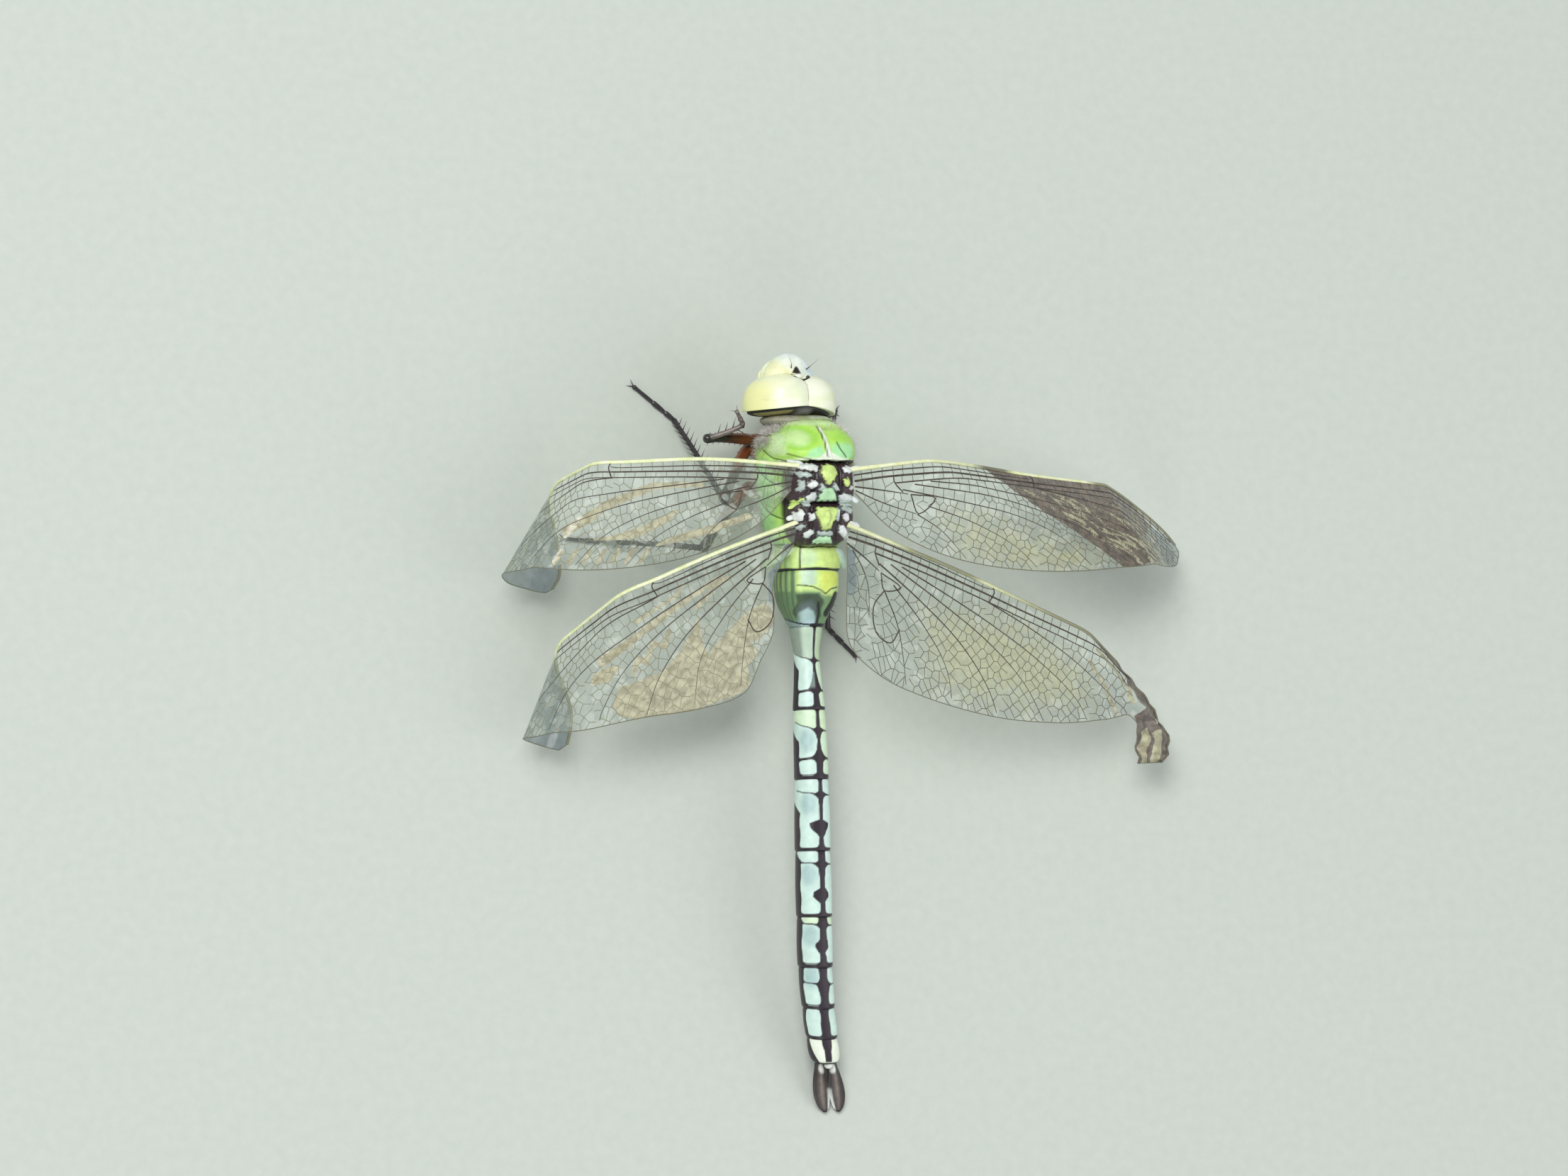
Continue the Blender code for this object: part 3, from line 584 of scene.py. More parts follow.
points, angles = ring_rows(box_sections(THORAX, THORAX_ROWS), THORAX_SIDES, THORAX_POWER)
x, y, z = points.T.copy()
upper = past(z, 1.0, 2.5)
keel_x = KEEL_X + KEEL_SLANT * (y - KEEL_FRONT)
keel = hill(x - keel_x, KEEL_HALF + KEEL_SPREAD * (y - KEEL_FRONT)) * within(y, 7.7, 11.2, 0.4) * upper
from_hump = np.hypot((x - HUMP[0]) / HUMP_STRETCH, y - HUMP[1])
hump_left = (1 - past(from_hump, 1.9, 1.3)) * upper
hump_right = spot(x, y, (-2.7, 9.2), (2.2, 1.7), 1.2) * upper
ridge = hill(y - 11.0 - 0.02 * x**2, 0.17) * past(z, 2.4, 1.0)
SUTURES = [  # (y, z) lines down both sides, from the wing roots to the hips
    [(11.3, 4.2), (10.9, 2.0), (9.6, -1.5), (9.2, -4.8)],
    [(14.3, 4.0), (13.3, 1.2), (12.0, -2.0), (11.6, -5.6)],
    [(17.6, 3.8), (16.6, 1.0), (14.8, -2.4), (14.2, -5.2)],
]
PANEL_LINES = [[(11.2, 2.4), (13.4, 2.1)], [(11.0, -0.4), (12.6, -0.9)], [(13.9, 0.6), (16.2, 0.2)],
               [(15.0, -2.6), (17.4, -2.2)]]


def side_lines(lines, width, soft):
    """The lines drawn down both sides of the thorax, as one marking."""
    return np.max([stroke(y, z, line, width, soft) for line in lines], axis=0) * past(np.abs(x), 2.4, 0.4)


suture = np.maximum(side_lines(SUTURES, 0.13, 0.1), 0.7 * side_lines(PANEL_LINES, 0.1, 0.12))
groove = side_lines(SUTURES + PANEL_LINES, 0.5, 0.5)
# Painted shading on the round left shoulder: rings of deeper lime about its top, and a painted highlight at
# its centre.
rings = 0.5 + 0.5 * np.cos(3.6 * from_hump - 0.5)
lift = (0.2 * keel + 0.45 * hump_left + 0.06 * hump_left * rings + 0.3 * hump_right
        + 0.22 * ridge - 0.14 * groove)
outward = np.stack([x / 4.6**2, 0 * x, (z + 0.7) / 4.5**2], 1)  # away from an oval of these half sizes
outward /= np.maximum(np.linalg.norm(outward, axis=1), 1e-9)[:, None]
points = points + outward * lift[:, None]
thorax = add_piece("thorax_shell", points, tube_faces(THORAX_ROWS, THORAX_SIDES), thorax_finish)
beside = x - keel_x
front_line = within(beside, 0.15, 0.32, 0.12) * within(y, 7.6, 10.8, 0.4) * upper
CROSS_LINE = [(1.5, 11.18), (0.6, 11.28), (-0.3, 11.2), (-1.4, 11.36), (-3.0, 11.16), (-4.7, 11.3)]
cross_line = stroke(x, y, CROSS_LINE, 0.22) * upper
humeral = stroke(x, y, [(-1.5, 9.3), (-1.8, 10.0), (-2.5, 10.8)], 0.13, 0.1) * upper
humeral += 0.8 * stroke(x, y, [(3.4, 10.5), (2.4, 10.85), (1.4, 11.05)], 0.13, 0.14) * upper
roof = within(y, 11.25, 19.9, 0.12) * past(z, 2.75 - 0.05 * (y - 11), 0.5)
roof += 0.3 * within(y, 14.4, 15.6, 0.8) * within(z, -0.5, 2.7, 0.8)
lime = hump_left * (1 - rings) ** 2 * past(from_hump, 0.4, 0.5)
lime += 0.5 * hump_right * past(-x, 1.0, 1.0) * past(-y, -9.3, 1.0)
mint = 0.85 * area(x, y, [(1.9, 10.9), (1.3, 10.0), (0.2, 9.7), (-0.2, 10.8)], 0.5)
mint += 0.8 * spot(x, y, (-2.2, 10.2), (1.6, 0.9), 0.8)
mint = mint * upper + 0.6 * within(z, -3.0, 1.5, 3.0) * past(y, 11.0, 1.0)
keel_cream = past(keel, 0.25, 0.3)
keel_cream += area(x, y, [(0.9, 11.15), (-0.3, 10.3), (-0.8, 10.3), (-2.4, 11.15)], 0.25) * upper
pale_edges_and_highlight = 0.8 * ridge * past(np.abs(x), 0.5, 0.5)
pale_edges_and_highlight += 0.45 * within(y, 6.9, 7.5, 0.4) * upper
# painted highlight at the centre of the round left shoulder
pale_edges_and_highlight += 0.35 * hump_left * (1 - past(from_hump, 0.9, 0.9))
pale_edges_and_highlight += 0.5 * within(x, 3.4, 5.0, 0.8) * within(y, 8.2, 10.6, 0.8) * upper
dark = np.max([suture, 0.9 * front_line, cross_line, humeral, 0.96 * roof], axis=0)
paint(thorax, dark, mint, lime, keel_cream + pale_edges_and_highlight)
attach(thorax, "root")
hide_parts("thorax")

# Back plates between the wing roots: purple-brown saddles with a lime shield and a mint strip on
# each, and small pale hardened fields toward the wings. Each saddle is one cast, raised and painted.
BACK_PLATES = {  # y, width, top; each is seated on the thorax's roof
    "mesonotum": [(11.4, 5.0, 4.9), (11.8, 6.4, 5.5), (13.0, 7.0, 5.9), (14.6, 7.1, 5.7),
                  (15.2, 6.8, 5.45), (15.5, 6.3, 5.1)],
    "metanotum": [(15.5, 6.3, 5.0), (15.8, 6.8, 5.35), (17.0, 7.1, 5.5), (18.6, 6.6, 5.0),
                  (19.3, 5.6, 4.6), (19.8, 4.4, 4.1)],
}
PLATE_DEPTH, BACK_GRID = 2.2, (110, 220)
SCLERITES = {  # kind of marking: outlines of (x, y) points, from above
    "lime": [
        [(-0.9, 11.7), (-0.25, 11.5), (0.4, 11.75), (0.6, 12.3), (0.4, 13.0), (-0.15, 13.75),
         (-0.75, 13.2), (-1.15, 12.5)],
        [(1.05, 15.95), (-1.25, 15.95), (-1.3, 16.6), (-0.95, 17.3), (-0.6, 18.2), (0.2, 18.3),
         (0.6, 17.4), (1.0, 16.7)],
        [(3.5, 15.5), (2.3, 14.95), (2.2, 15.35), (3.2, 15.95)], [(-1.9, 13.1), (-2.4, 12.9), (-2.7, 13.4),
                                                                  (-2.4, 13.9), (-1.95, 13.7)],
    ],
    "mint": [
        [(0.25, 14.0), (-0.6, 14.0), (-1.0, 14.6), (-1.2, 15.3), (0.9, 15.35), (0.75, 14.7)],
        [(0.75, 18.95), (-0.75, 18.95), (-1.15, 19.6), (1.1, 19.65)],
    ],
    "cream": [
        [(3.2, 11.45), (2.0, 11.5), (1.3, 11.45), (0.75, 11.85), (1.1, 12.35), (1.9, 12.2), (2.9, 12.0)],
        [(3.3, 16.6), (2.5, 16.1), (2.2, 16.6), (2.4, 17.3), (3.0, 17.5), (3.4, 17.1)],
        [(-2.75, 13.75), (-3.5, 13.9), (-3.5, 14.15), (-2.6, 14.1)],
    ],
    "white": [
        [(1.9, 13.35), (1.3, 13.15), (0.95, 13.5), (1.1, 13.95), (1.7, 14.1), (2.1, 13.8)],
        [(1.8, 16.6), (1.2, 16.5), (1.1, 17.0), (1.3, 17.4), (1.85, 17.3)],
        [(-1.8, 11.9), (-2.5, 11.7), (-3.2, 11.9), (-2.9, 12.4), (-2.0, 12.4)],
        [(-2.0, 16.55), (-2.6, 16.6), (-2.75, 17.2), (-2.3, 17.4), (-1.95, 17.1)],
        [(-1.5, 17.9), (-2.0, 17.7), (-2.5, 18.2), (-3.0, 18.9), (-3.2, 19.4), (-2.7, 19.3), (-2.1, 18.9),
         (-1.6, 18.5)],
    ],
    "sky": [
        [(1.75, 14.5), (1.15, 14.4), (1.05, 15.0), (1.15, 15.4), (1.9, 15.4), (2.1, 15.0)],
        [(1.9, 18.4), (1.2, 18.2), (1.1, 18.7), (1.7, 19.2), (2.2, 18.9)],
        [(-1.45, 14.7), (-2.2, 14.55), (-3.2, 14.85), (-3.5, 15.2), (-3.2, 15.4), (-2.4, 15.4),
         (-1.6, 15.3)],
    ],
    "grey": [
        [(0.6, 18.4), (-0.9, 18.4), (-1.0, 18.85), (0.8, 18.85)], [(0.5, 13.5), (0.95, 14.2), (0.5, 14.3),
                                                                   (0.15, 13.95)],
        [(-0.9, 13.4), (-1.5, 14.2), (-1.1, 14.35), (-0.65, 13.9)], [(2.9, 13.2), (2.3, 13.2), (2.3, 14.2),
                                                                     (3.1, 14.4)],
        [(-3.4, 16.1), (-2.2, 15.8), (-1.6, 15.9), (-1.8, 16.2), (-3.0, 16.6)], [(-1.6, 15.3),
                                                                                 (-3.7, 15.2),
                                                                                 (-3.7, 15.85),
                                                                                 (-1.6, 15.8)],
        [(2.5, 15.25), (1.5, 15.35), (1.5, 15.85), (2.3, 15.9)], [(3.3, 12.3), (2.2, 12.35), (1.5, 12.6),
                                                                  (1.6, 12.9), (2.9, 12.9)],
        [(-1.3, 15.9), (-1.7, 16.2), (-1.5, 17.5), (-1.1, 17.2)], [(2.9, 17.8), (1.9, 17.7), (2.4, 18.3),
                                                                   (3.0, 18.2)],
    ],
}
KINDS = {  # how much of the second, third and fourth marking makes each kind
    "lime": (0.0, 1.0, 0.15), "mint": (0.9, 0.4, 0.2), "cream": (0.0, 0.3, 0.9), "white": (0.0, 0.0, 1.0),
    "sky": (0.6, 0.0, 0.92), "grey": (0.3, 0.0, 0.5),
}
nota_finish = shell_finish("back_plates", (70, 52, 56), (22, 18, 20), (150, 234, 200), (214, 242, 116),
                           (240, 244, 240), 0.3, Roughness=0.36)
for name, table in BACK_PLATES.items():
    seated = [(y, width, top, read_row(THORAX, y)[1] - PLATE_DEPTH) for y, width, top in table]
    points, angles = ring_rows(box_sections(seated, BACK_GRID[0]), BACK_GRID[1], 2.7)
    x, y, z = points.T.copy()
    marks, raised, lip = np.zeros((3, len(x))), np.zeros(len(x)), np.zeros(len(x))
    top_side = past(np.cos(np.radians(angles)), 0.1, 0.2)
    ripple = 0.05 * np.sin(9.0 * x + 5.0 * y) + 0.04 * np.sin(17.0 * y - 11.0 * x)
    for kind, outlines in SCLERITES.items():
        for outline in outlines:
            inside = area(x + ripple, y - ripple, outline, 0.14) * top_side
            marks = np.maximum(marks * (1 - inside), np.outer(KINDS[kind], inside))
            raised = np.maximum(raised, area(x, y, outline, 0.45) * top_side)
            lip = np.maximum(lip, inside)
    gutter = hill(np.abs(x + 0.1) - 1.5, 0.22) * top_side
    points[:, 2] += 0.34 * raised - 0.3 * gutter * (1 - raised)
    leaf = stroke(x, y, [(-0.35, 16.3), (-0.55, 17.0), (-0.25, 17.8)], 0.2, 0.25) * 0.5
    arc = stroke(x, y, [(1.3, 15.4), (0.6, 15.48), (-0.7, 15.5), (-1.4, 15.45)], 0.16)
    shade = 0.5 * within(x, -2.0, 2.4, 0.6) * (1 - lip)
    plate = add_piece(name + "_plate", points, tube_faces(*BACK_GRID), nota_finish)
    paint(plate, np.max([leaf, arc, shade], axis=0) * top_side, *marks)
    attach(plate, "root")
    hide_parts(name)

# Hinge plates: small pale knuckles about the roots of the wings. They are cast, finished like the
# back plates, and glued on.
HINGE_PLATES = [  # centre, radii, turn in degrees, kind
    ((2.75, 11.55, 4.75), (1.15, 0.34, 0.3), -16, "cream"),
    ((-3.1, 12.05, 4.85), (1.0, 0.3, 0.28), 12, "white"),
    ((3.15, 16.95, 4.6), (0.75, 0.32, 0.28), 18, "cream"),
    ((-3.4, 17.65, 4.7), (0.8, 0.26, 0.25), -20, "white"),
    ((-3.35, 15.1, 4.75), (0.7, 0.3, 0.26), -28, "sky"),
    ((-3.2, 19.2, 4.3), (0.7, 0.2, 0.22), -38, "white"),
    ((2.9, 15.75, 4.55), (0.8, 0.26, 0.24), 22, "lime"),
]
HINGE_GRID = (18, 30)


def joined(shapes):
    """The points and faces of several shapes as those of one."""
    points, faces = [], []
    for shape, shape_faces in shapes:
        faces += [tuple(index + len(points) for index in face) for face in shape_faces]
        points += list(shape)
    return np.array(points), faces


knuckles, kinds = [], []
for centre, radii, turn, kind in HINGE_PLATES:
    shape = ball_points((0, 0, 0), radii, *HINGE_GRID)
    shape *= 1 + 0.12 * np.sin(5 * shape[:, :1] / radii[0] + 3 * turn)
    shape = shape @ np.array(Matrix.Rotation(math.radians(turn), 3, "Z")).T
    knuckles.append((shape + centre, tube_faces(*HINGE_GRID)))
    kinds += [KINDS[kind]] * len(shape)
hinges = add_piece("wing_hinge_plates", *joined(knuckles), nota_finish)
paint(hinges, 0.0, *np.array(kinds, float).T)
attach(hinges, "root")

# ---------------------------------------------------------------------------------------------
# Abdomen: ten rings that slide in one another, each a cast sleeve. The first two are lime and teal;
# the rest are ice blue with a dark stripe along the back, a dark ring, and a cross band on each.
AXIS = [(19, 0, -0.1), (22.5, 0.1, 0.1), (28.3, 0.3, 0.5), (36.8, 0.2, 1.2), (43.9, 0.15, 1.8),
        (51.2, 0.2, 2.3), (57.9, 0.15, 2.6), (63, 0, 2.5), (67.2, -0.5, 2.05), (70.3, -1.05, 1.6),
        (73, -1.65, 1.05), (78.2, -2.85, -0.35)]
BORDERS = [19.85, 22.55, 28.3, 36.8, 43.9, 51.2, 57.9, 63.0, 67.2, 70.3, 73.0]
RINGS = [  # (share of the ring's length, width, height)
    [(0, 6.6, 6.3), (0.3, 7.1, 6.6), (1, 6.8, 6.5)],
    [(0, 6.6, 6.4), (0.3, 6.6, 6.2), (0.6, 5.75, 5.4), (0.85, 4.25, 4.3), (1, 3.5, 3.8)],
    [(0, 3.4, 3.7), (0.3, 2.6, 3.0), (0.65, 2.8, 3.1), (1, 3.3, 3.4)],
    [(0, 3.2, 3.4), (0.5, 3.4, 3.5), (1, 3.5, 3.6)],
    [(0, 3.4, 3.5), (0.5, 3.6, 3.6), (1, 3.65, 3.6)],
    [(0, 3.5, 3.5), (0.5, 3.7, 3.6), (1, 3.65, 3.6)],
    [(0, 3.5, 3.5), (0.5, 3.65, 3.5), (1, 3.6, 3.4)],
    [(0, 3.4, 3.3), (0.5, 3.5, 3.2), (1, 3.4, 3.1)],
    [(0, 3.2, 3.0), (0.5, 3.4, 2.9), (1, 3.3, 2.8)],
    [(0, 3.1, 2.7), (0.5, 3.3, 2.6), (0.85, 3.0, 2.3), (1, 2.4, 1.7)],
]
# Thin cross line, its slant, cross band and its reach in degrees, and where the edge line starts.
# All but the slant and the reach are millimetres behind the ring's front.
BANDS = {
    3: (3.43, 0.008, 6.4, 110, 4.4),
    4: (2.1, 0.0105, 4.85, 110, 3.2),
    5: (1.55, 0.005, 4.6, 22, 3.4),
    6: (1.3, 0.003, 4.35, 20, 0.9),
    7: (0.8, 0.004, 2.9, 16, 0.3),
    8: (1.6, 0.003, 1.8, 16, 0.0),
    9: (9.0, 0.0, 1.4, 14, 0.0),
}
STRIPES = {  # half width of the stripe along the back, in degrees, at millimetres behind the ring's front
    3: [(0, 6), (3, 6), (3.43, 12), (3.8, 7), (4.4, 9), (5.6, 17), (6.3, 29), (6.9, 13), (8.5, 14)],
    4: [(0, 8), (1.7, 8), (2.1, 19), (2.6, 11), (3.1, 6), (4, 10), (4.85, 24), (5.4, 14), (7.1, 14)],
    5: [(0, 8), (1.2, 8), (1.55, 20), (2, 11), (2.7, 7.5), (4.1, 8), (4.45, 36), (4.9, 31), (5.9, 9),
        (7.3, 12)],
    6: [(0, 14), (1, 14), (1.35, 24), (1.8, 14), (2.8, 9.5), (3.7, 10), (4.15, 26), (4.6, 27), (5.2, 11),
        (6.7, 11)],
    7: [(0, 15), (0.7, 19), (1.2, 14), (2.2, 14), (2.7, 23), (3, 24), (3.6, 12), (5.1, 12)],
    8: [(0, 16), (1, 17), (1.6, 23), (2.6, 18), (4.2, 16)],
    9: [(0, 19), (1.5, 17), (3.1, 20)],
    10: [(0, 21), (0.7, 18), (1.2, 13), (2.3, 13), (2.7, 8)],
}
STRIPE_TURN = {8: 9.0, 9: 4.0, 10: 2.0}  # degrees from the top to the animal's right; 11 on the others
RING_SIDES, ROWS_PER_MM, RING_GAP = 128, 12, 0.03
DEGREE = 0.029  # millimetres around a ring
MELT = 0.13  # millimetres over which dark markings that meet melt into one another
TUCKS = {0: 0.84, 1: 0.92, -2: 0.93, -1: 0.75}  # size of the first and last rows, which tuck under


def per_point(values, sides, *poles):
    """One value for each point of a tube: the same all around a row, then those of its two poles."""
    return np.concatenate([np.repeat(values, sides), poles])


def axis_at(y):
    """Centre and slope of the abdomen at this y."""
    y = min(y, AXIS[-1][0])
    low, high = max(y - 0.5, AXIS[0][0]), min(y + 0.5, AXIS[-1][0])
    slope = math.atan2(read_row(AXIS, high)[1] - read_row(AXIS, low)[1], high - low)
    return *read_row(AXIS, y), slope


front_finish = shell_finish("front_rings", (218, 246, 152), (26, 26, 30), (62, 112, 92), (238, 250, 112),
                            (196, 220, 230), 0.14, Roughness=0.34)
ice_finish = shell_finish("ice_blue_rings", (208, 236, 226), (44, 34, 42), (146, 182, 184), (216, 242, 196),
                          (244, 250, 230), 0.1, Roughness=0.34)
for n, shapes in enumerate(RINGS, 1):
    start, end = BORDERS[n - 1] + RING_GAP, BORDERS[n] - RING_GAP
    length = end - start
    stations = np.linspace(start, end, int(length * ROWS_PER_MM))
    stations = np.concatenate([[start - 0.5, start - 0.05], stations, [end + 0.02, end - 0.15]])
    sizes = 0.97 + 0.03 * np.minimum(np.minimum((stations - start) / 0.35, 1.0), (end - stations) / 0.2)
    for row, size in TUCKS.items():
        sizes[row] = size
    sections = []
    for station, rim in zip(stations, sizes):
        share = min(max((station - start) / length, 0.0), 1.0)
        x, z, slope = axis_at(station)
        width, height = read_row(shapes, share)
        sections.append((x, station, z, width * rim, height * rim, slope))
    points, angles = ring_rows(sections, RING_SIDES, 2.2)
    rows = len(sections)
    place = per_point(stations, RING_SIDES, start, end) - start
    off = points[:, 0] - per_point([section[0] for section in sections], RING_SIDES, 0, 0)
    top = np.abs(angles) < 100
    centre = angles + STRIPE_TURN.get(n, 11.0)
    if n <= 2:
        finish, slot = front_finish, "green"
        lines = {1: [(2.2, 0.12), (1.6, 0.3), (0.8, 0.36), (-0.2, 0.2), (-1.4, 0.3), (-2.4, 0.2)],
                 2: [(1.9, 1.5), (1.2, 1.55), (0.3, 1.7), (-0.6, 2.05), (-1.15, 2.4), (-1.7, 1.9),
                     (-2.7, 1.65)]}[n]
        dark = 0.9 * stroke(off, place, lines, 0.14) * top
        flank = within(angles, 36, 125, 10)
        fibres = 0.6 + 0.3 * np.sin(0.46 * angles + 0.7 * np.sin(0.9 * place))
        fibres += 0.1 * np.sin(1.1 * angles + place)
        if n == 1:
            hem = past(place, length - 0.22 - 0.05 * np.cos(1.6 * off), 0.08)
            side_streak = stroke(off, place, [(1.7, 0.2), (1.8, 1.4), (1.75, 2.6)], 0.2, 0.12) * top
            hollow = 0.8 * within(angles, 48, 66, 8) * (1 - past(place, 1.3, 0.8))
            dark = np.max([dark, hem, side_streak, hollow], axis=0)
            glow = 0.3 * spot(off, place, (0.9, 1.4), (0.9, 0.9), 0.8)
            marks = (dark, 0.65 * fibres * past(angles, 46, 10), 0.25 * past(-off, 0.2, 1.5) * top, glow)
        else:
            seam_at = np.interp(angles, [-90, 0, 25, 50, 80, 110], [5.55, 5.55, 5.48, 5.3, 4.95, 4.7])
            seam_half = 0.09 + 0.1 * (1.0 - past(angles, 2.0, 16.0))
            seam_end = seam_at + seam_half + 0.3 * (angles < 10)
            seam = within(place, seam_at - seam_half, seam_end, 0.07)
            blotch = stroke(off, place, [(-2.55, 2.5), (-2.2, 3.4), (-1.6, 4.3)], 0.85, 0.2) * top
            trail = stroke(off, place, [(-0.35, 3.3), (-0.6, 4.3), (-0.45, 5.7)], 0.4, 0.2) * top
            wavy = off + 0.1 * np.sin(4.0 * place + 1.0)
            navy_field = [(1.9, 2.4), (-0.4, 2.35), (-0.9, 3.0), (-0.9, 4.6), (-0.3, 5.4), (-0.1, 4.2),
                          (0.6, 3.8), (1.4, 4.3), (1.7, 5.0), (2.0, 4.4)]
            navy = 0.74 * area(wavy, place, navy_field, 0.35) * top
            flank_shade = 0.4 * flank * (0.6 + 0.4 * past(place, 1.8, 2.0))
            dark = np.max([dark, seam, blotch, trail, navy, flank_shade], axis=0)
            teal_field = [(1.4, 2.1), (-0.6, 2.2), (-1.3, 3.0), (-1.6, 4.6), (-0.9, 6.2), (1.9, 6.2)]
            teal = np.max([0.8 * area(wavy, place, teal_field, 0.6) * top, fibres * flank,
                           0.72 * past(place + 0.12 * off, 2.35, 0.5)], axis=0)
            blue_field = [(1.5, 3.4), (0.5, 3.1), (-0.2, 3.8), (-0.3, 6.2), (1.5, 6.2)]
            blue = np.max([0.6 * area(wavy, place, blue_field, 0.8) * top,
                           0.85 * past(place, 4.9, 0.9) * within(off, -0.4, 0.9, 0.6) * top,
                           0.55 * within(off, 0.1, 1.6, 0.5) * (1 - past(place, 1.5, 0.3)) * top,
                           0.5 * past(place, seam_at, 0.1) * past(angles, 10, 5)], axis=0)
            lemon = within(place, 0.1, 1.6, 0.2) * within(off, -2.7, -0.4, 0.9) * top
            lemon = np.maximum(lemon, area(off, place, [(-0.4, 1.5), (-1.2, 2.6), (-2.0, 1.5)], 0.3) * top)
            marks = (dark, teal, 0.8 * lemon, blue)
    elif n < 10:
        finish, slot = ice_finish, "blue" if n < 9 else "pale"
        line_at, slant, band_at, reach, edge_from = BANDS[n]
        half = np.interp(place, *zip(*STRIPES[n])) * (1.0 + 0.06 * np.sin(3.1 * place + n))
        bulge = past(place, band_at - 0.4, 0.3) * (1.0 - past(place, band_at + 0.8, 0.6)) * (4 < n < 8)
        line = line_at - slant * np.maximum(centre - 8.0, 0.0) + 0.03 * np.sin(0.13 * centre)
        thick = 0.075 + 0.06 * hill(np.abs(centre), 30.0)
        line_edge = 73.0 + 2.0 * np.sin(2.4 * place + 2.0 * n)
        past_reach = np.maximum(np.abs(centre) - reach, 0.0)
        gaps = np.stack([  # distance from each dark marking, so that they melt into one another
            (np.abs(centre - 5.0 * bulge) - half) * DEGREE,
            np.abs(place - line) - thick + np.maximum(np.abs(centre) - 95.0, 0.0),
            np.abs(place - band_at - 0.003 * np.abs(centre)) - 0.15 + past_reach * 0.1,
            (line_edge - np.abs(centre)) * DEGREE + np.maximum(edge_from - place, 0.0),
            length - (0.5 if n in (4, 7, 8) else 0.34) - place,
            place + 0.02,
        ])
        melted = -MELT * np.log(np.exp(-gaps / MELT).sum(axis=0))
        dark = 1.0 - past(melted, -0.02, 0.08)
        if n in (4, 7, 8):
            pale_line = within(place, length - 0.42, length - 0.34, 0.05)
            dark *= 1.0 - 0.6 * pale_line * within(centre, 24, 62, 5)
        if n == 3:
            dark *= 1.0 - 0.3 * within(centre, 2, 40, 6) * within(place, 4.6, 6.2, 0.4)
            # The front of ring 3 is painted a darker tone, and darker still toward both flanks, which is
            # painted shade where the ring turns from the light.
            front_tone_and_flank_shade = (0.24 + 0.36 * past(np.abs(centre), 52, 20)) * (1 - past(place, line, 0.3))
            dark = np.maximum(dark, front_tone_and_flank_shade)
        middle = 12.0 * min(line_at + 1.0, band_at - 1.0)
        shaded = 0.75 * spot(centre, place * 12.0, (44.0, middle), (26.0, 14.0), 1.0) * (n not in (3, 9))
        lemon = 0.7 * within(centre, -70, -9, 4) * (n < 5)
        lemon += 0.8 * (1 - past(place, line, 0.2)) * (n in (4, 7))
        lemon += 0.5 * (1 - past(place, line, 0.5)) * (n == 3)
        marks = (dark, shaded, lemon, 0.15)
    else:
        finish, slot = ice_finish, "pale"
        half = np.interp(place, *zip(*STRIPES[n]))
        stripe = (1.0 - past(np.abs(centre), half, 2.5)) * (1.0 - past(place, 2.35, 0.2))
        wedge = np.maximum(past(centre, 78.0 - 16.0 * place, 5.0), past(-centre, 98.0 - 15.0 * place, 5.0))
        rims = past(place, length - 0.2, 0.08) + within(place, -1.0, 0.06, 0.05)
        dark = np.max([stripe, wedge, rims], axis=0)
        marks = (dark, 0.0, 0.0, 1.0)
    ring = add_piece("ring_%02d" % n, points, tube_faces(rows, RING_SIDES), finish)
    paint(ring, *marks)
    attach(ring, "root")
    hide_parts("segment_%02d" % n)

# Rear lobes: the thorax's rim swells into a lime lip on each side of the first ring. They are cast
# and glued to the flank.
LOBE_ROWS, LOBE_SIDES = 30, 24
for side, label in ((1, "left"), (-1, "right")):
    shares = np.linspace(0.0, 1.0, LOBE_ROWS)
    spread = 2.9 if side > 0 else 1.9
    path = [(side * (2.1 + spread * t), 20.15 + 2.0 * t**1.4, 2.5 - 2.1 * t**1.2) for t in shares]
    points, faces = limb(path, 0.1 + 0.42 * np.sin(np.pi * shares) ** 0.6, LOBE_SIDES)
    lobe = add_piece("rear_lobe_" + label, points, faces, front_finish)
    front_rim = 1.0 - past(points[:, 1], per_point([p[1] for p in path], LOBE_SIDES, 20.1, 22.1), 0.5)
    paint(lobe, 0.0, 0.0, 0.6 * front_rim, 0.4 if side > 0 else 0.7)
    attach(lobe, "root")

# Tail: two leaf-shaped claspers with a raised rib and pale inner edges, and a short plate under
# them. They are cast brown and pegged in the last ring; their undersides rest on the floor.
CLASPER = [  # y, spread, width, thickness
    (72.75, -0.05, 0.8, 0.6), (73.6, 0.0, 1.05, 0.65), (74.4, 0.04, 1.4, 0.7), (75.4, 0.08, 1.7, 0.62),
    (76.4, 0.1, 1.75, 0.55), (77.3, 0.08, 1.45, 0.5), (77.9, 0.03, 1.0, 0.42), (78.25, 0.0, 0.4, 0.3),
]
CLASPER_GRID = (50, 64)
EPIPROCT = [(72.75, 0.0, 1.0, 0.5), (73.6, 0.0, 1.15, 0.55), (74.5, 0.0, 1.0, 0.5), (75.3, 0.0, 0.5, 0.4)]
FLOOR_GAP = 0.00002  # metres between the floor and what rests on it


def off_floor(points, gap):
    """The same points, with any that come nearer to the floor than the gap lifted to it."""
    under = gap - placed(points, stance)[:, 2]
    points[:, 2] += np.maximum(under, 0.0) / (MM * math.cos(PITCH))
    return points


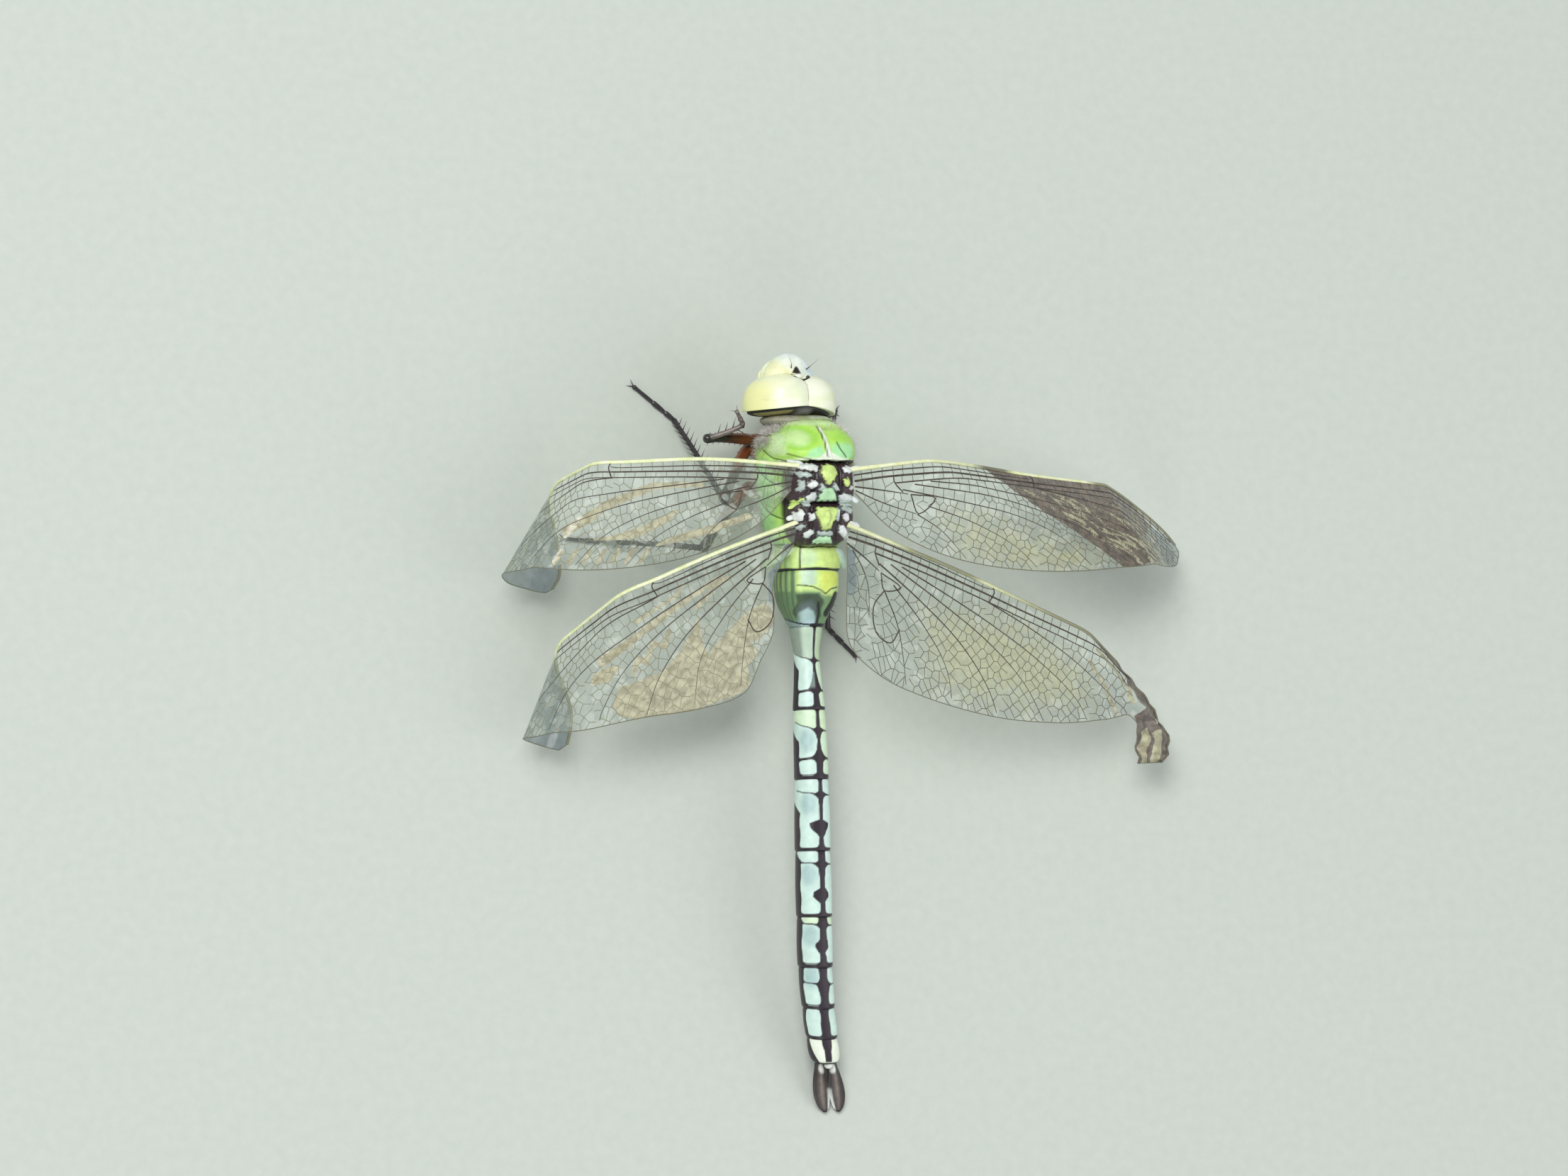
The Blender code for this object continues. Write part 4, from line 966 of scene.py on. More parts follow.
tail_finish = shell_finish("claspers", (74, 66, 62), (22, 18, 18), (60, 50, 50), (132, 120, 110),
                           (236, 240, 230), 0.3, Roughness=0.4)
for name, side, below, table in (("cercus_left", 1, 0.0, CLASPER), ("cercus_right", -1, 0.0, CLASPER),
                                 ("epiproct", 0, 0.75, EPIPROCT)):
    sections = []
    for station in np.linspace(table[0][0], table[-1][0], CLASPER_GRID[0]):
        spread, width, thickness = read_row(table, station)
        x, z, slope = axis_at(station)
        sections.append((x + side * (0.75 + spread), station, z - below, width, thickness, slope))
    points, angles = ring_rows(sections, CLASPER_GRID[1], 2.2)
    shares = per_point(np.linspace(0, 1, CLASPER_GRID[0]), CLASPER_GRID[1], 0, 1)
    rib = hill(angles, 16.0) * np.sin(np.pi * shares) ** 0.5
    dish = hill(np.abs(angles) - 52, 20.0) * np.sin(np.pi * shares)
    points[:, 2] += 0.12 * rib - 0.1 * dish
    piece = add_piece(name + "_shell", off_floor(points, FLOOR_GAP), tube_faces(*CLASPER_GRID), tail_finish)
    inner = within(-side * angles, 40, 100, 14) * within(shares, 0.55, 0.95, 0.1)
    edge = within(np.abs(angles), 70, 115, 8) + past(shares, 0.96, 0.03)
    pale_foot = spot(angles, shares * 100, (side * -20.0, 14.0), (40.0, 10.0), 0.6)
    pale = np.maximum(inner, 0.8 * pale_foot) * (side != 0)
    paint(piece, np.maximum(edge * (1 - inner), 0.45 * dish), 0.5 * past(shares, 0.6, 0.4), rib, pale)
    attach(piece, "root")
    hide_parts(name)

# Tail socket: the soft pale skin between the last ring and the claspers, a small cast bead.
SOCKET_CENTRE, SOCKET_RADII, SOCKET_GRID = (-1.9, 73.25, 1.35), (0.5, 0.42, 0.4), (16, 28)
socket_points = ball_points(SOCKET_CENTRE, SOCKET_RADII, *SOCKET_GRID)
socket = add_piece("tail_socket", socket_points, tube_faces(*SOCKET_GRID), tail_finish)
paint(socket, 0.0, 0.0, 0.0, past(socket_points[:, 2], 1.3, 0.3))
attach(socket, "root")

# ---------------------------------------------------------------------------------------------
# Legs: coxa, femur, tibia and a three-jointed tarsus with two claws on each. They are cast black,
# red-brown at the hips and glossy; mid and hind feet stand, and the forelegs are tucked up.
HIPS = {"fore": (1.5, 8.6, -6.3), "mid": (1.6, 10.7, -7.2), "hind": (1.6, 13.6, -6.9)}
LEGS = {  # trochanter, knee, ankle and claw; a height of None rests on the floor
    "fore_left": [(3.9, 8.8, -6.2), (9.6, 8.8, -3.9), (5.9, 7.4, -2.9), (7.1, 6.0, -1.6)],
    "fore_right": [(-3.1, 8.8, -6.9), (-7.0, 9.8, -7.3), (-2.9, 6.9, -7.0), (-4.9, 6.1, -4.6)],
    "mid_left": [(4.1, 9.7, -7.0), (7.8, 15.2, -3.5), (10.9, 6.7, None), (15.2, 3.2, None)],
    "mid_right": [(-3.6, 10.9, -7.4), (-5.9, 15.0, -5.0), (-6.3, 9.2, None), (-7.2, 5.4, None)],
    "hind_left": [(4.2, 13.7, -6.6), (10.3, 20.1, -2.7), (18.8, 19.5, None), (23.4, 19.1, None)],
    "hind_right": [(-3.2, 14.4, -7.6), (-4.3, 21.6, -4.4), (-5.1, 28.4, None), (-8.1, 31.4, None)],
}
REST_HEIGHTS = (0.0, 0.0, 0.3, 0.24)  # of each joint's centre when it rests on the floor
LEG_SHAPES = {  # (share along, radius) of each piece
    "coxa": [(-0.25, 0.55), (0.0, 0.72), (0.35, 0.75), (0.8, 0.58), (1.0, 0.52), (1.08, 0.3)],
    "femur": [(-0.06, 0.3), (0.0, 0.5), (0.12, 0.6), (0.4, 0.56), (0.8, 0.45), (0.95, 0.5), (1.02, 0.42),
              (1.04, 0.2)],
    "tibia": [(-0.04, 0.22), (0.0, 0.38), (0.06, 0.32), (0.5, 0.28), (0.92, 0.26), (1.0, 0.3),
              (1.02, 0.15)],
    "tarsus": [(0.0, 0.16), (0.04, 0.24), (0.2, 0.27), (0.23, 0.16), (0.26, 0.22), (0.5, 0.27),
               (0.53, 0.16), (0.56, 0.21), (0.9, 0.2), (0.98, 0.24), (1.0, 0.12)],
}
SPINE_ROWS = {"femur": (0.75, 0.42, 0.05), "tibia": (0.8, 1.05, 0.06)}  # spacing, length, radius
LEG_ROWS, LEG_SIDES, BOW = 44, 20, 0.12  # the femur and tibia bow sideways by this many millimetres
CLAW_ROWS, CLAW_RADII, FOOT_GAP, UP = 8, (0.07, 0.015), 0.00001, Vector((0.0, 0.0, 1.0))
SPINE_CLEAR = 0.0008  # metres; spines rooted nearer to the floor than this are worn off
leg_finish = shell_finish("legs", (50, 42, 44), (16, 14, 14), (140, 74, 42), (176, 160, 150),
                          (222, 216, 206), 0.3, Roughness=0.32, Coat_Weight=0.4, Coat_Roughness=0.2)


def floor_height(y, height):
    """The z, in the body frame, of a point at this y that stands this high over the floor."""
    return (height - THORAX_HEIGHT + (y - THORAX_Y) * math.sin(PITCH)) / math.cos(PITCH)


def start_tree(name, **inputs):
    """A Geometry Nodes tree with named inputs, its input node, its output node, and input identifiers."""
    tree = bpy.data.node_groups.new(name, "GeometryNodeTree")
    tree.interface.new_socket("Geometry", in_out="INPUT", socket_type="NodeSocketGeometry")
    tree.interface.new_socket("Geometry", in_out="OUTPUT", socket_type="NodeSocketGeometry")
    keys = {}
    for key, (kind, value) in inputs.items():
        socket = tree.interface.new_socket(key, in_out="INPUT", socket_type="NodeSocket" + kind)
        if value is not None:
            socket.default_value = value
        keys[key] = socket.identifier
    return tree, tree.nodes.new("NodeGroupInput"), tree.nodes.new("NodeGroupOutput"), keys


def grow(tree, kind, inputs, **settings):
    """Adds a node to a growing tree and gives its first output."""
    return new_node(tree, "GeometryNode" + kind, inputs, **settings).outputs[0]


def grown(name, points, edges, attributes, tree, keys, values, place):
    """Runs a tree over points and edges in millimetres, and returns the result as a plain mesh object."""
    seed_mesh = bpy.data.meshes.new(name + "_guide")
    seed_mesh.from_pydata(placed(points, place).tolist(), edges, [])
    for key, (kind, data) in attributes.items():
        layer = seed_mesh.attributes.new(key, kind, "POINT")
        field = "vector" if kind == "FLOAT_VECTOR" else "value"
        layer.data.foreach_set(field, np.asarray(data, float).ravel())
    guide = new_object(name + "_guide", seed_mesh)
    modifier = guide.modifiers.new("Grow", "NODES")
    modifier.node_group = tree
    for key, value in values.items():
        modifier[keys[key]] = value
    evaluated = guide.evaluated_get(bpy.context.evaluated_depsgraph_get())
    mesh = bpy.data.meshes.new_from_object(evaluated)
    bpy.data.objects.remove(guide)
    mesh.name = name
    mesh.shade_smooth()
    return new_object(name, mesh)


BRISTLE_TIP = 0.08  # of the radius at its root
bristle_tree, given, result, bristle_keys = start_tree(
    "bristles", Sides=("Int", 3), Patch=("Float", 0.0015), Finish=("Material", None))
cone = grow(bristle_tree, "MeshCone", {"Vertices": given.outputs["Sides"], "Radius Top": BRISTLE_TIP,
                                       "Radius Bottom": 1.0, "Depth": 1.0})
where = grow(bristle_tree, "InputPosition", {})
patch = add_node(bristle_tree, "VectorMath", {0: where, 3: given.outputs["Patch"]}, operation="SCALE")
cone = grow(bristle_tree, "StoreNamedAttribute",
            {"Geometry": cone, "Name": "patch", "Value": patch.outputs[0]}, data_type="FLOAT_VECTOR")
aim, size, root = (grow(bristle_tree, "InputNamedAttribute", {"Name": key}, data_type="FLOAT_VECTOR")
                   for key in ("aim", "size", "root"))
turned = new_node(bristle_tree, "FunctionNodeAlignRotationToVector", {"Vector": aim}, axis="Z").outputs[0]
planted = grow(bristle_tree, "InstanceOnPoints", {"Points": given.outputs["Geometry"], "Instance": cone,
                                                  "Rotation": turned, "Scale": size})
real = grow(bristle_tree, "RealizeInstances", {0: planted})
patch = grow(bristle_tree, "InputNamedAttribute", {"Name": "patch"}, data_type="FLOAT_VECTOR")
baked = add_node(bristle_tree, "VectorMath", {0: root, 1: patch}, operation="ADD").outputs[0]
mapped = grow(bristle_tree, "StoreNamedAttribute", {"Geometry": real, "Name": "OFBake", "Value": baked},
              data_type="FLOAT2", domain="CORNER")
faced = grow(bristle_tree, "SetMaterial", {"Geometry": mapped, "Material": given.outputs["Finish"]})
bristle_tree.links.new(faced, result.inputs[0])


def bristles(name, roots, aims, lengths, radii, unwrap, finish, sides=3):
    """Slim tapered bristles at roots in the body frame; unwrap is each root's place on the skin's own map."""
    aims = np.asarray(aims, float) @ np.array(stance.to_3x3()).T
    sizes = np.stack([radii, radii, lengths], 1) * MM
    unwrap = np.concatenate([unwrap, np.zeros((len(unwrap), 1))], 1)
    vectors = {"aim": aims, "size": sizes, "root": unwrap}
    attributes = {key: ("FLOAT_VECTOR", data) for key, data in vectors.items()}
    values = {"Sides": sides, "Finish": finish}
    return grown(name, roots, [], attributes, bristle_tree, bristle_keys, values, stance)


rng = random.Random(7)
spine_roots, spine_aims, spine_sizes, spine_unwrap = [], [], [], []
for leg, (label, joints) in enumerate(LEGS.items()):
    pair, side = label.split("_")
    sign = 1 if side == "left" else -1
    chain = [Vector((sign * HIPS[pair][0], *HIPS[pair][1:]))]
    for (x, y, z), height in zip(joints, REST_HEIGHTS):
        chain.append(Vector((x, y, floor_height(y, height) if z is None else z)))
    for k, (part, shape) in enumerate(LEG_SHAPES.items()):
        start, end = chain[k], chain[k + 1]
        ahead = (end - start).normalized()
        beside = ahead.cross(UP).normalized()
        shares = np.linspace(shape[0][0], shape[-1][0], LEG_ROWS)
        radii = np.array([smooth(shape, share) for share in shares])
        bow = BOW * (end - start).cross(UP).normalized() if part in SPINE_ROWS else Vector()
        path = [start.lerp(end, share) + bow * math.sin(math.pi * min(max(share, 0.0), 1.0))
                for share in shares]
        points, faces = limb(path, radii, LEG_SIDES)
        along = per_point(shares, LEG_SIDES, shares[0], shares[-1])
        red = {"coxa": 0.9, "femur": 0.85 * (1 - past(along, 0.45, 0.5)), "tibia": 0.0, "tarsus": 0.0}[part]
        joint = 1 - past(np.minimum(np.abs(along), np.abs(along - 1)), 0.03, 0.03)
        # Painted highlight: the left foreleg's tibia is painted pale where light glares on its gloss.
        pale = 0.5 * within(along, 0.1, 0.9, 0.4) * (part == "tibia") * (pair == "fore") * (sign > 0)
        if part == "tarsus":
            foot = [(points, faces)]
            for turn in (-1, 1):
                hook = [end + ahead * (0.35 * t) + beside * (turn * (0.04 + 0.26 * t))
                        - Vector((0, 0, 0.22 * t * t)) for t in np.linspace(0, 1.5, CLAW_ROWS)]
                foot.append(limb(hook, np.linspace(*CLAW_RADII, CLAW_ROWS), 8))
            points, faces = joined(foot)
            # The left fore tarsus is painted pale too, a painted highlight.
            pale, joint, red = 0.55 * (label == "fore_left"), 0.0, 0.0
        name = part + "_" + label
        piece = add_piece(name + "_shell", off_floor(points, FOOT_GAP), faces, leg_finish)
        paint(piece, 0.7 * joint, red, pale)
        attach(piece, "root")
        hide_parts(name)
        if part in SPINE_ROWS:
            spacing, length, radius = SPINE_ROWS[part]
            under = ahead.cross(beside)
            for row, lean in ((0, 1), (1, -1)):
                for step in np.arange(1.0, (end - start).length - 0.4, spacing):
                    share = (step + 0.35 * row) / (end - start).length
                    thick = smooth(shape, share)
                    out = (under * -0.55 + beside * lean).normalized()
                    out = out if out.z < 0.4 else (beside * lean).normalized()
                    place = start.lerp(end, share) + bow * math.sin(math.pi * share) + out * thick * 0.85
                    spine_roots.append(tuple(place))
                    spine_aims.append(tuple((out + 0.75 * ahead).normalized()))
                    spine_sizes.append((length * rng.uniform(0.8, 1.15), radius))
                    strip = 4 * leg + 2 * (part == "tibia") + row
                    spine_unwrap.append((0.02 + 0.96 * share, (strip + 0.5) / (4 * len(LEGS))))
spine_roots = np.array(spine_roots)
high = placed(spine_roots, stance)[:, 2] > SPINE_CLEAR
spine_sizes = np.array(spine_sizes)
spines = bristles("leg_spines", spine_roots[high], np.array(spine_aims)[high], *spine_sizes[high].T,
                  np.array(spine_unwrap)[high], bristle_finish, 5)
paint(spines)
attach(spines, "root")

# ---------------------------------------------------------------------------------------------
# Wings: four clear sheets, each cut flat, then creased and rolled the way a fresh wing folds, and
# hinged at its root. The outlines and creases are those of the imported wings.
# Outline of each edge, as shares of the wing's length: (station, outward, rearward).
FORE_LEAD = [(0, 0, 0), (0.25, 0.25, -0.018), (0.5, 0.5, -0.012), (0.8, 0.8, -0.01), (0.92, 0.92, 0.015),
             (0.98, 0.98, 0.045), (1, 1, 0.075)]
FORE_TRAIL = [(0, 0.01, 0.055), (0.1, 0.1, 0.145), (0.25, 0.25, 0.215), (0.45, 0.45, 0.25),
              (0.65, 0.65, 0.25), (0.8, 0.8, 0.22), (0.92, 0.92, 0.175), (0.98, 0.98, 0.12), (1, 1, 0.095)]
HIND_LEAD = [(0, 0, 0), (0.25, 0.25, -0.012), (0.5, 0.5, -0.01), (0.8, 0.8, 0), (0.92, 0.92, 0.02),
             (0.97, 0.97, 0.05), (1, 1, 0.08)]
HIND_TRAIL = [(0, 0.03, 0.05), (0.07, 0.11, 0.12), (0.13, 0.145, 0.24), (0.18, 0.2, 0.3),
              (0.24, 0.262, 0.36), (0.38, 0.39, 0.352), (0.55, 0.55, 0.31), (0.75, 0.75, 0.265),
              (0.88, 0.88, 0.21), (0.96, 0.96, 0.14), (1, 1, 0.105)]
HOOK_LEAD = [(0, 0, 0), (0.3, 0.3, -0.01), (0.55, 0.55, -0.008), (0.74, 0.74, -0.004), (0.86, 0.86, 0.005),
             (0.92, 0.945, 0.045), (0.95, 1.0, 0.09), (0.98, 1.01, 0.16), (1, 1.0, 0.22)]
HOOK_TRAIL = [(0, 0.01, 0.04), (0.03, 0.03, 0.1), (0.07, 0.05, 0.18), (0.1, 0.075, 0.255),
              (0.15, 0.127, 0.294), (0.27, 0.25, 0.315), (0.5, 0.49, 0.292), (0.7, 0.69, 0.236),
              (0.82, 0.818, 0.178), (0.92, 0.885, 0.142), (0.95, 0.903, 0.165), (0.98, 0.92, 0.21),
              (1, 0.93, 0.25)]
# Creases run from the tip inward: share along the front edge, skew, bend, radius. Angles in degrees.
WINGS = {
    "forewing_left": dict(
        kind="fore", lead=FORE_LEAD, trail=FORE_TRAIL, length=41.0, side=1, reach=0.985,
        root=(2.75, 11.7, 5.0), creases=[(0.69, 31, 112, 4.2), (0.48, 30, 90, 2.2)],
        sweep=1, droop=-5, pitch=9, plain_tip=True,
        costa_pale=[(0, 1), (0.8, 1), (0.86, 0.4), (1, 0.2)],
    ),
    "forewing_right": dict(
        kind="fore", lead=FORE_LEAD, trail=FORE_TRAIL, length=44.5, side=-1, reach=0.985,
        root=(-2.75, 12.1, 5.0), creases=[(0.74, 10, 20, 2.0), (0.19, 60, 36, 2.5)],
        sweep=-2, droop=2, pitch=-8, plain_tip=False,
        costa_pale=[(0, 1), (0.33, 0.8), (0.37, 0.15), (0.43, 0.2), (0.46, 1), (0.68, 1), (0.72, 0.3),
                    (1, 0.2)],
    ),
    "hindwing_left": dict(
        kind="hind", lead=HIND_LEAD, trail=HIND_TRAIL, length=41.0, side=1, reach=0.985,
        root=(2.6, 17.4, 4.75), creases=[(0.72, 36, 145, 2.5), (0.41, 47, 88, 2.5)],
        sweep=22, droop=-5, pitch=14, plain_tip=True,
        costa_pale=[(0, 1), (0.77, 1), (0.81, 0.4), (1, 0.2)],
    ),
    "hindwing_right": dict(
        kind="hind", lead=HOOK_LEAD, trail=HOOK_TRAIL, length=44.0, side=-1, reach=0.885,
        root=(-2.6, 17.7, 4.9), creases=[(0.69, 60, 47, 1.5)],
        sweep=21.5, droop=9, pitch=-12.5, plain_tip=False, crumple=(0.84, 0.3),
        costa_pale=[(0, 0.9), (0.12, 0.9), (0.2, 0.35), (0.36, 0.35), (0.4, 0.9), (0.46, 0.7), (0.6, 0.3),
                    (1, 0.1)],
    ),
}
FILM_THICKNESS, FILM_ALONG, FILM_ACROSS = 0.03, 240, 84
FINE_GLINTS = 64  # painted glints: fine light streaks of reflected light on the right forewing


def folded(wing, flat):
    """Points of the flat wing, (outward, rearward) in millimetres, carried to their creased places."""
    flat = np.asarray(flat, float).reshape(-1, 2)
    place = np.concatenate([flat, np.zeros((len(flat), 1))], 1)
    for share, skew, bend, radius in wing["creases"]:
        start = np.array((share * wing["length"], 0.0))
        skew, bend = math.radians(skew), math.radians(bend)
        normal = np.array((math.cos(skew), -math.sin(skew)))
        along = np.array((math.sin(skew), math.cos(skew)))
        rolled = np.clip((flat - start) @ normal, 0.0, radius * bend)
        angle = rolled / radius
        sine, cosine = np.sin(angle), np.cos(angle)
        out = (place[:, :2] - start) @ normal - rolled
        ahead = radius * sine + out * cosine + place[:, 2] * sine
        down = radius * (1 - cosine) + out * sine
        beside = (place[:, :2] - start) @ along
        flat_part = start + ahead[:, None] * normal + beside[:, None] * along
        place = np.concatenate([flat_part, (place[:, 2] * cosine - down)[:, None]], 1)
    if "crumple" in wing:
        start, height = wing["crumple"]
        out, back = (flat / wing["length"]).T
        waves = np.sin(95.0 * back - 30.0 * out) + 0.6 * np.sin(60.0 * out + 140.0 * back + 1.0)
        place[:, 2] += height * past(out, start, 0.1) * waves
    return place * (wing["side"], 1.0, 1.0)


def hinge_of(wing):
    """The matrix that hangs a creased wing on its root."""
    side = wing["side"]
    pitch, droop, sweep = (math.radians(wing[key]) for key in ("pitch", "droop", "sweep"))
    turn = Matrix.Rotation(side * sweep, 4, "Z") @ Matrix.Rotation(side * droop, 4, "Y")
    return stance @ Matrix.Translation(wing["root"]) @ (turn @ Matrix.Rotation(-pitch, 4, "X"))


# Glassy film of each wing, its cells lit at random by painted glints. Fields of it are painted: beige is
# painted glare, the sheen of light reflected by the sheet; brown is painted shade, a dark backdrop seen
# through the clear sheet; amber is the wing's own tint; grey makes the tips and a patch near the root
# cloudier. It crinkles a little between the veins. Places are shares of the length.
# Colour fields of the film: softness of the outline, light and deep colour, cover, and the span of
# the marking over which the field comes in, which gives it a ragged border.
FILM_FIELDS = {
    # brown: painted shade, the dark backdrop seen through the clear sheet
    "brown": (0.014, (134, 114, 100), (74, 58, 54), 0.62, (0.42, 0.58)),
    "grey": (0.03, (136, 152, 154), (108, 124, 128), 0.42, (0.42, 0.58)),
    "amber": (0.2, (216, 216, 168), (188, 186, 136), 0.3, (0.2, 0.9)),
    # painted glare: the pale sheen of light reflected by the sheet
    "beige": (0.012, (204, 200, 166), (160, 154, 124), 0.84, (0.42, 0.58)),
}
FILM_PATCHES = {
    "forewing_left": {
        "grey": [[(0.75, -0.03), (1.01, -0.03), (1.01, 0.2), (0.87, 0.24), (0.8, 0.1)]],
        "beige": [
            [(0.62, 0.175), (0.5, 0.1), (0.38, 0.055), (0.26, 0.05), (0.26, 0.036), (0.4, 0.04),
             (0.52, 0.085), (0.63, 0.15)],
            [(0.56, 0.18), (0.5, 0.182), (0.43, 0.178), (0.35, 0.14), (0.31, 0.1), (0.37, 0.125),
             (0.43, 0.152), (0.5, 0.17)],
            [(0.39, 0.2), (0.3, 0.185), (0.22, 0.165), (0.12, 0.13), (0.13, 0.118), (0.24, 0.15),
             (0.33, 0.172)],
        ],
    },
    "forewing_right": {
        # painted shade: the dark backdrop seen through the wing's outer part
        "brown": [[(0.36, -0.03), (0.72, -0.03), (0.86, 0.0), (0.93, 0.08), (0.82, 0.2), (0.69, 0.26),
                   (0.64, 0.21), (0.58, 0.157), (0.485, 0.087), (0.4, 0.015)]],
        "grey": [[(0.82, 0.12), (0.9, 0.06), (1.0, 0.06), (1.0, 0.14), (0.9, 0.2), (0.82, 0.21)]],
        "amber": [[(0.23, 0.11), (0.34, 0.125), (0.45, 0.17), (0.56, 0.19), (0.63, 0.23), (0.55, 0.26),
                   (0.4, 0.25), (0.27, 0.2)]],
    },
    "hindwing_left": {
        "grey": [
            [(0.77, -0.03), (1.01, -0.03), (1.01, 0.2), (0.93, 0.25), (0.84, 0.1)],
            [(0.02, 0.05), (0.1, 0.11), (0.125, 0.17), (0.14, 0.16), (0.12, 0.1), (0.05, 0.045)],
        ],
        "beige": [
            [(0.61, 0.28), (0.62, 0.25), (0.59, 0.21), (0.53, 0.215), (0.47, 0.22), (0.4, 0.185),
             (0.33, 0.125), (0.34, 0.2), (0.33, 0.225), (0.27, 0.19), (0.2, 0.165), (0.15, 0.16),
             (0.13, 0.2), (0.15, 0.23), (0.2, 0.25), (0.22, 0.225), (0.2, 0.28), (0.24, 0.3), (0.24, 0.34),
             (0.27, 0.36), (0.4, 0.35), (0.56, 0.31)],
            [(0.62, 0.15), (0.5, 0.115), (0.38, 0.085), (0.24, 0.056), (0.24, 0.044), (0.4, 0.07),
             (0.5, 0.095), (0.62, 0.12)],
            [(0.66, 0.18), (0.61, 0.185), (0.57, 0.165), (0.59, 0.15), (0.65, 0.155)],
        ],
    },
    "hindwing_right": {
        "brown": [[(0.72, -0.01), (0.9, -0.01), (1.02, 0.06), (1.02, 0.26), (0.91, 0.27), (0.9, 0.14),
                   (0.93, 0.09), (0.86, 0.035)]],
        "grey": [[(0.005, 0.05), (0.03, 0.12), (0.045, 0.16), (0.065, 0.15), (0.06, 0.1), (0.04, 0.05)]],
        "amber": [[(0.26, 0.12), (0.42, 0.06), (0.58, 0.05), (0.72, 0.09), (0.76, 0.16), (0.66, 0.2),
                   (0.46, 0.27), (0.32, 0.27)]],
        "beige": [
            [(0.917, 0.17), (0.942, 0.15), (0.958, 0.24), (0.94, 0.25)],
            [(0.956, 0.16), (0.985, 0.14), (0.99, 0.225), (0.97, 0.235)],
        ],
    },
}
GLARE_STREAKS = {  # thin streaks of painted glare, the sheen of reflected light: line, width; the dashes on the folded forewing lie in a row
    "forewing_left": [([(0.418 + 0.038 * k, 0.236), (0.4 + 0.038 * k, 0.206)], 0.011) for k in range(7)],
    "hindwing_left": [
        ([(0.54, 0.19), (0.52, 0.16), (0.5, 0.18), (0.47, 0.14), (0.44, 0.16), (0.42, 0.13)], 0.014),
        ([(0.5, 0.07), (0.38, 0.05), (0.35, 0.03)], 0.009),
        ([(0.33, 0.1), (0.27, 0.07), (0.23, 0.06)], 0.012),
    ],
    "hindwing_right": [
        ([(0.75, 0.025), (0.82, 0.055), (0.88, 0.11)], 0.011),
        ([(0.73, 0.06), (0.79, 0.1), (0.84, 0.155)], 0.008),
        ([(0.93, 0.08), (0.96, 0.13)], 0.006),
    ],
}
film_finish, tree, shader = start_finish(
    "wing_film", Roughness=0.22, IOR=1.5, Coat_Weight=0.3, Coat_Roughness=0.15)
place = place_of(tree)
fields = marks_of(tree)
ragged = fit(tree, noise(tree, place, 900.0, 5.0), 0.3, 0.7, -0.26, 0.26)
streaky = fit(tree, noise(tree, place, 1300.0, 3.0), 0.35, 0.65)
# Painted glints: a random share of the cells is paler and more opaque, as if lit.
cells = add_node(tree, "TexVoronoi", {"Vector": place, "Scale": 1050.0}).outputs["Color"]
glint = fit(tree, add_node(tree, "SeparateColor", {0: cells}).outputs[0], 0.45, 1.0)
colour = mix(tree, glint, tint(168, 182, 166), tint(222, 230, 216))
cover = fit(tree, glint, 0.0, 1.0, 0.12, 0.26)
for field, (_, light, deep, most, (low, high)) in zip(fields, FILM_FIELDS.values()):
    share = fit(tree, math_of(tree, "ADD", field, ragged), low, high)
    colour = mix(tree, share, colour, mix(tree, streaky, tint(*light), tint(*deep)))
    cover = add_node(tree, "Mix", {0: share, 2: cover, 3: most}).outputs[0]
tree.links.new(colour, shader.inputs["Base Color"])
tree.links.new(cover, shader.inputs["Alpha"])
emboss(tree, shader, noise(tree, place, 1100.0, 2.0), 0.00025, 0.35)


def edge_points(wing, station):
    """Flat points of the front and rear edge at a station along the wing, in millimetres."""
    return [np.array(read_row(edge, station)) * wing["length"] for edge in (wing["lead"], wing["trail"])]


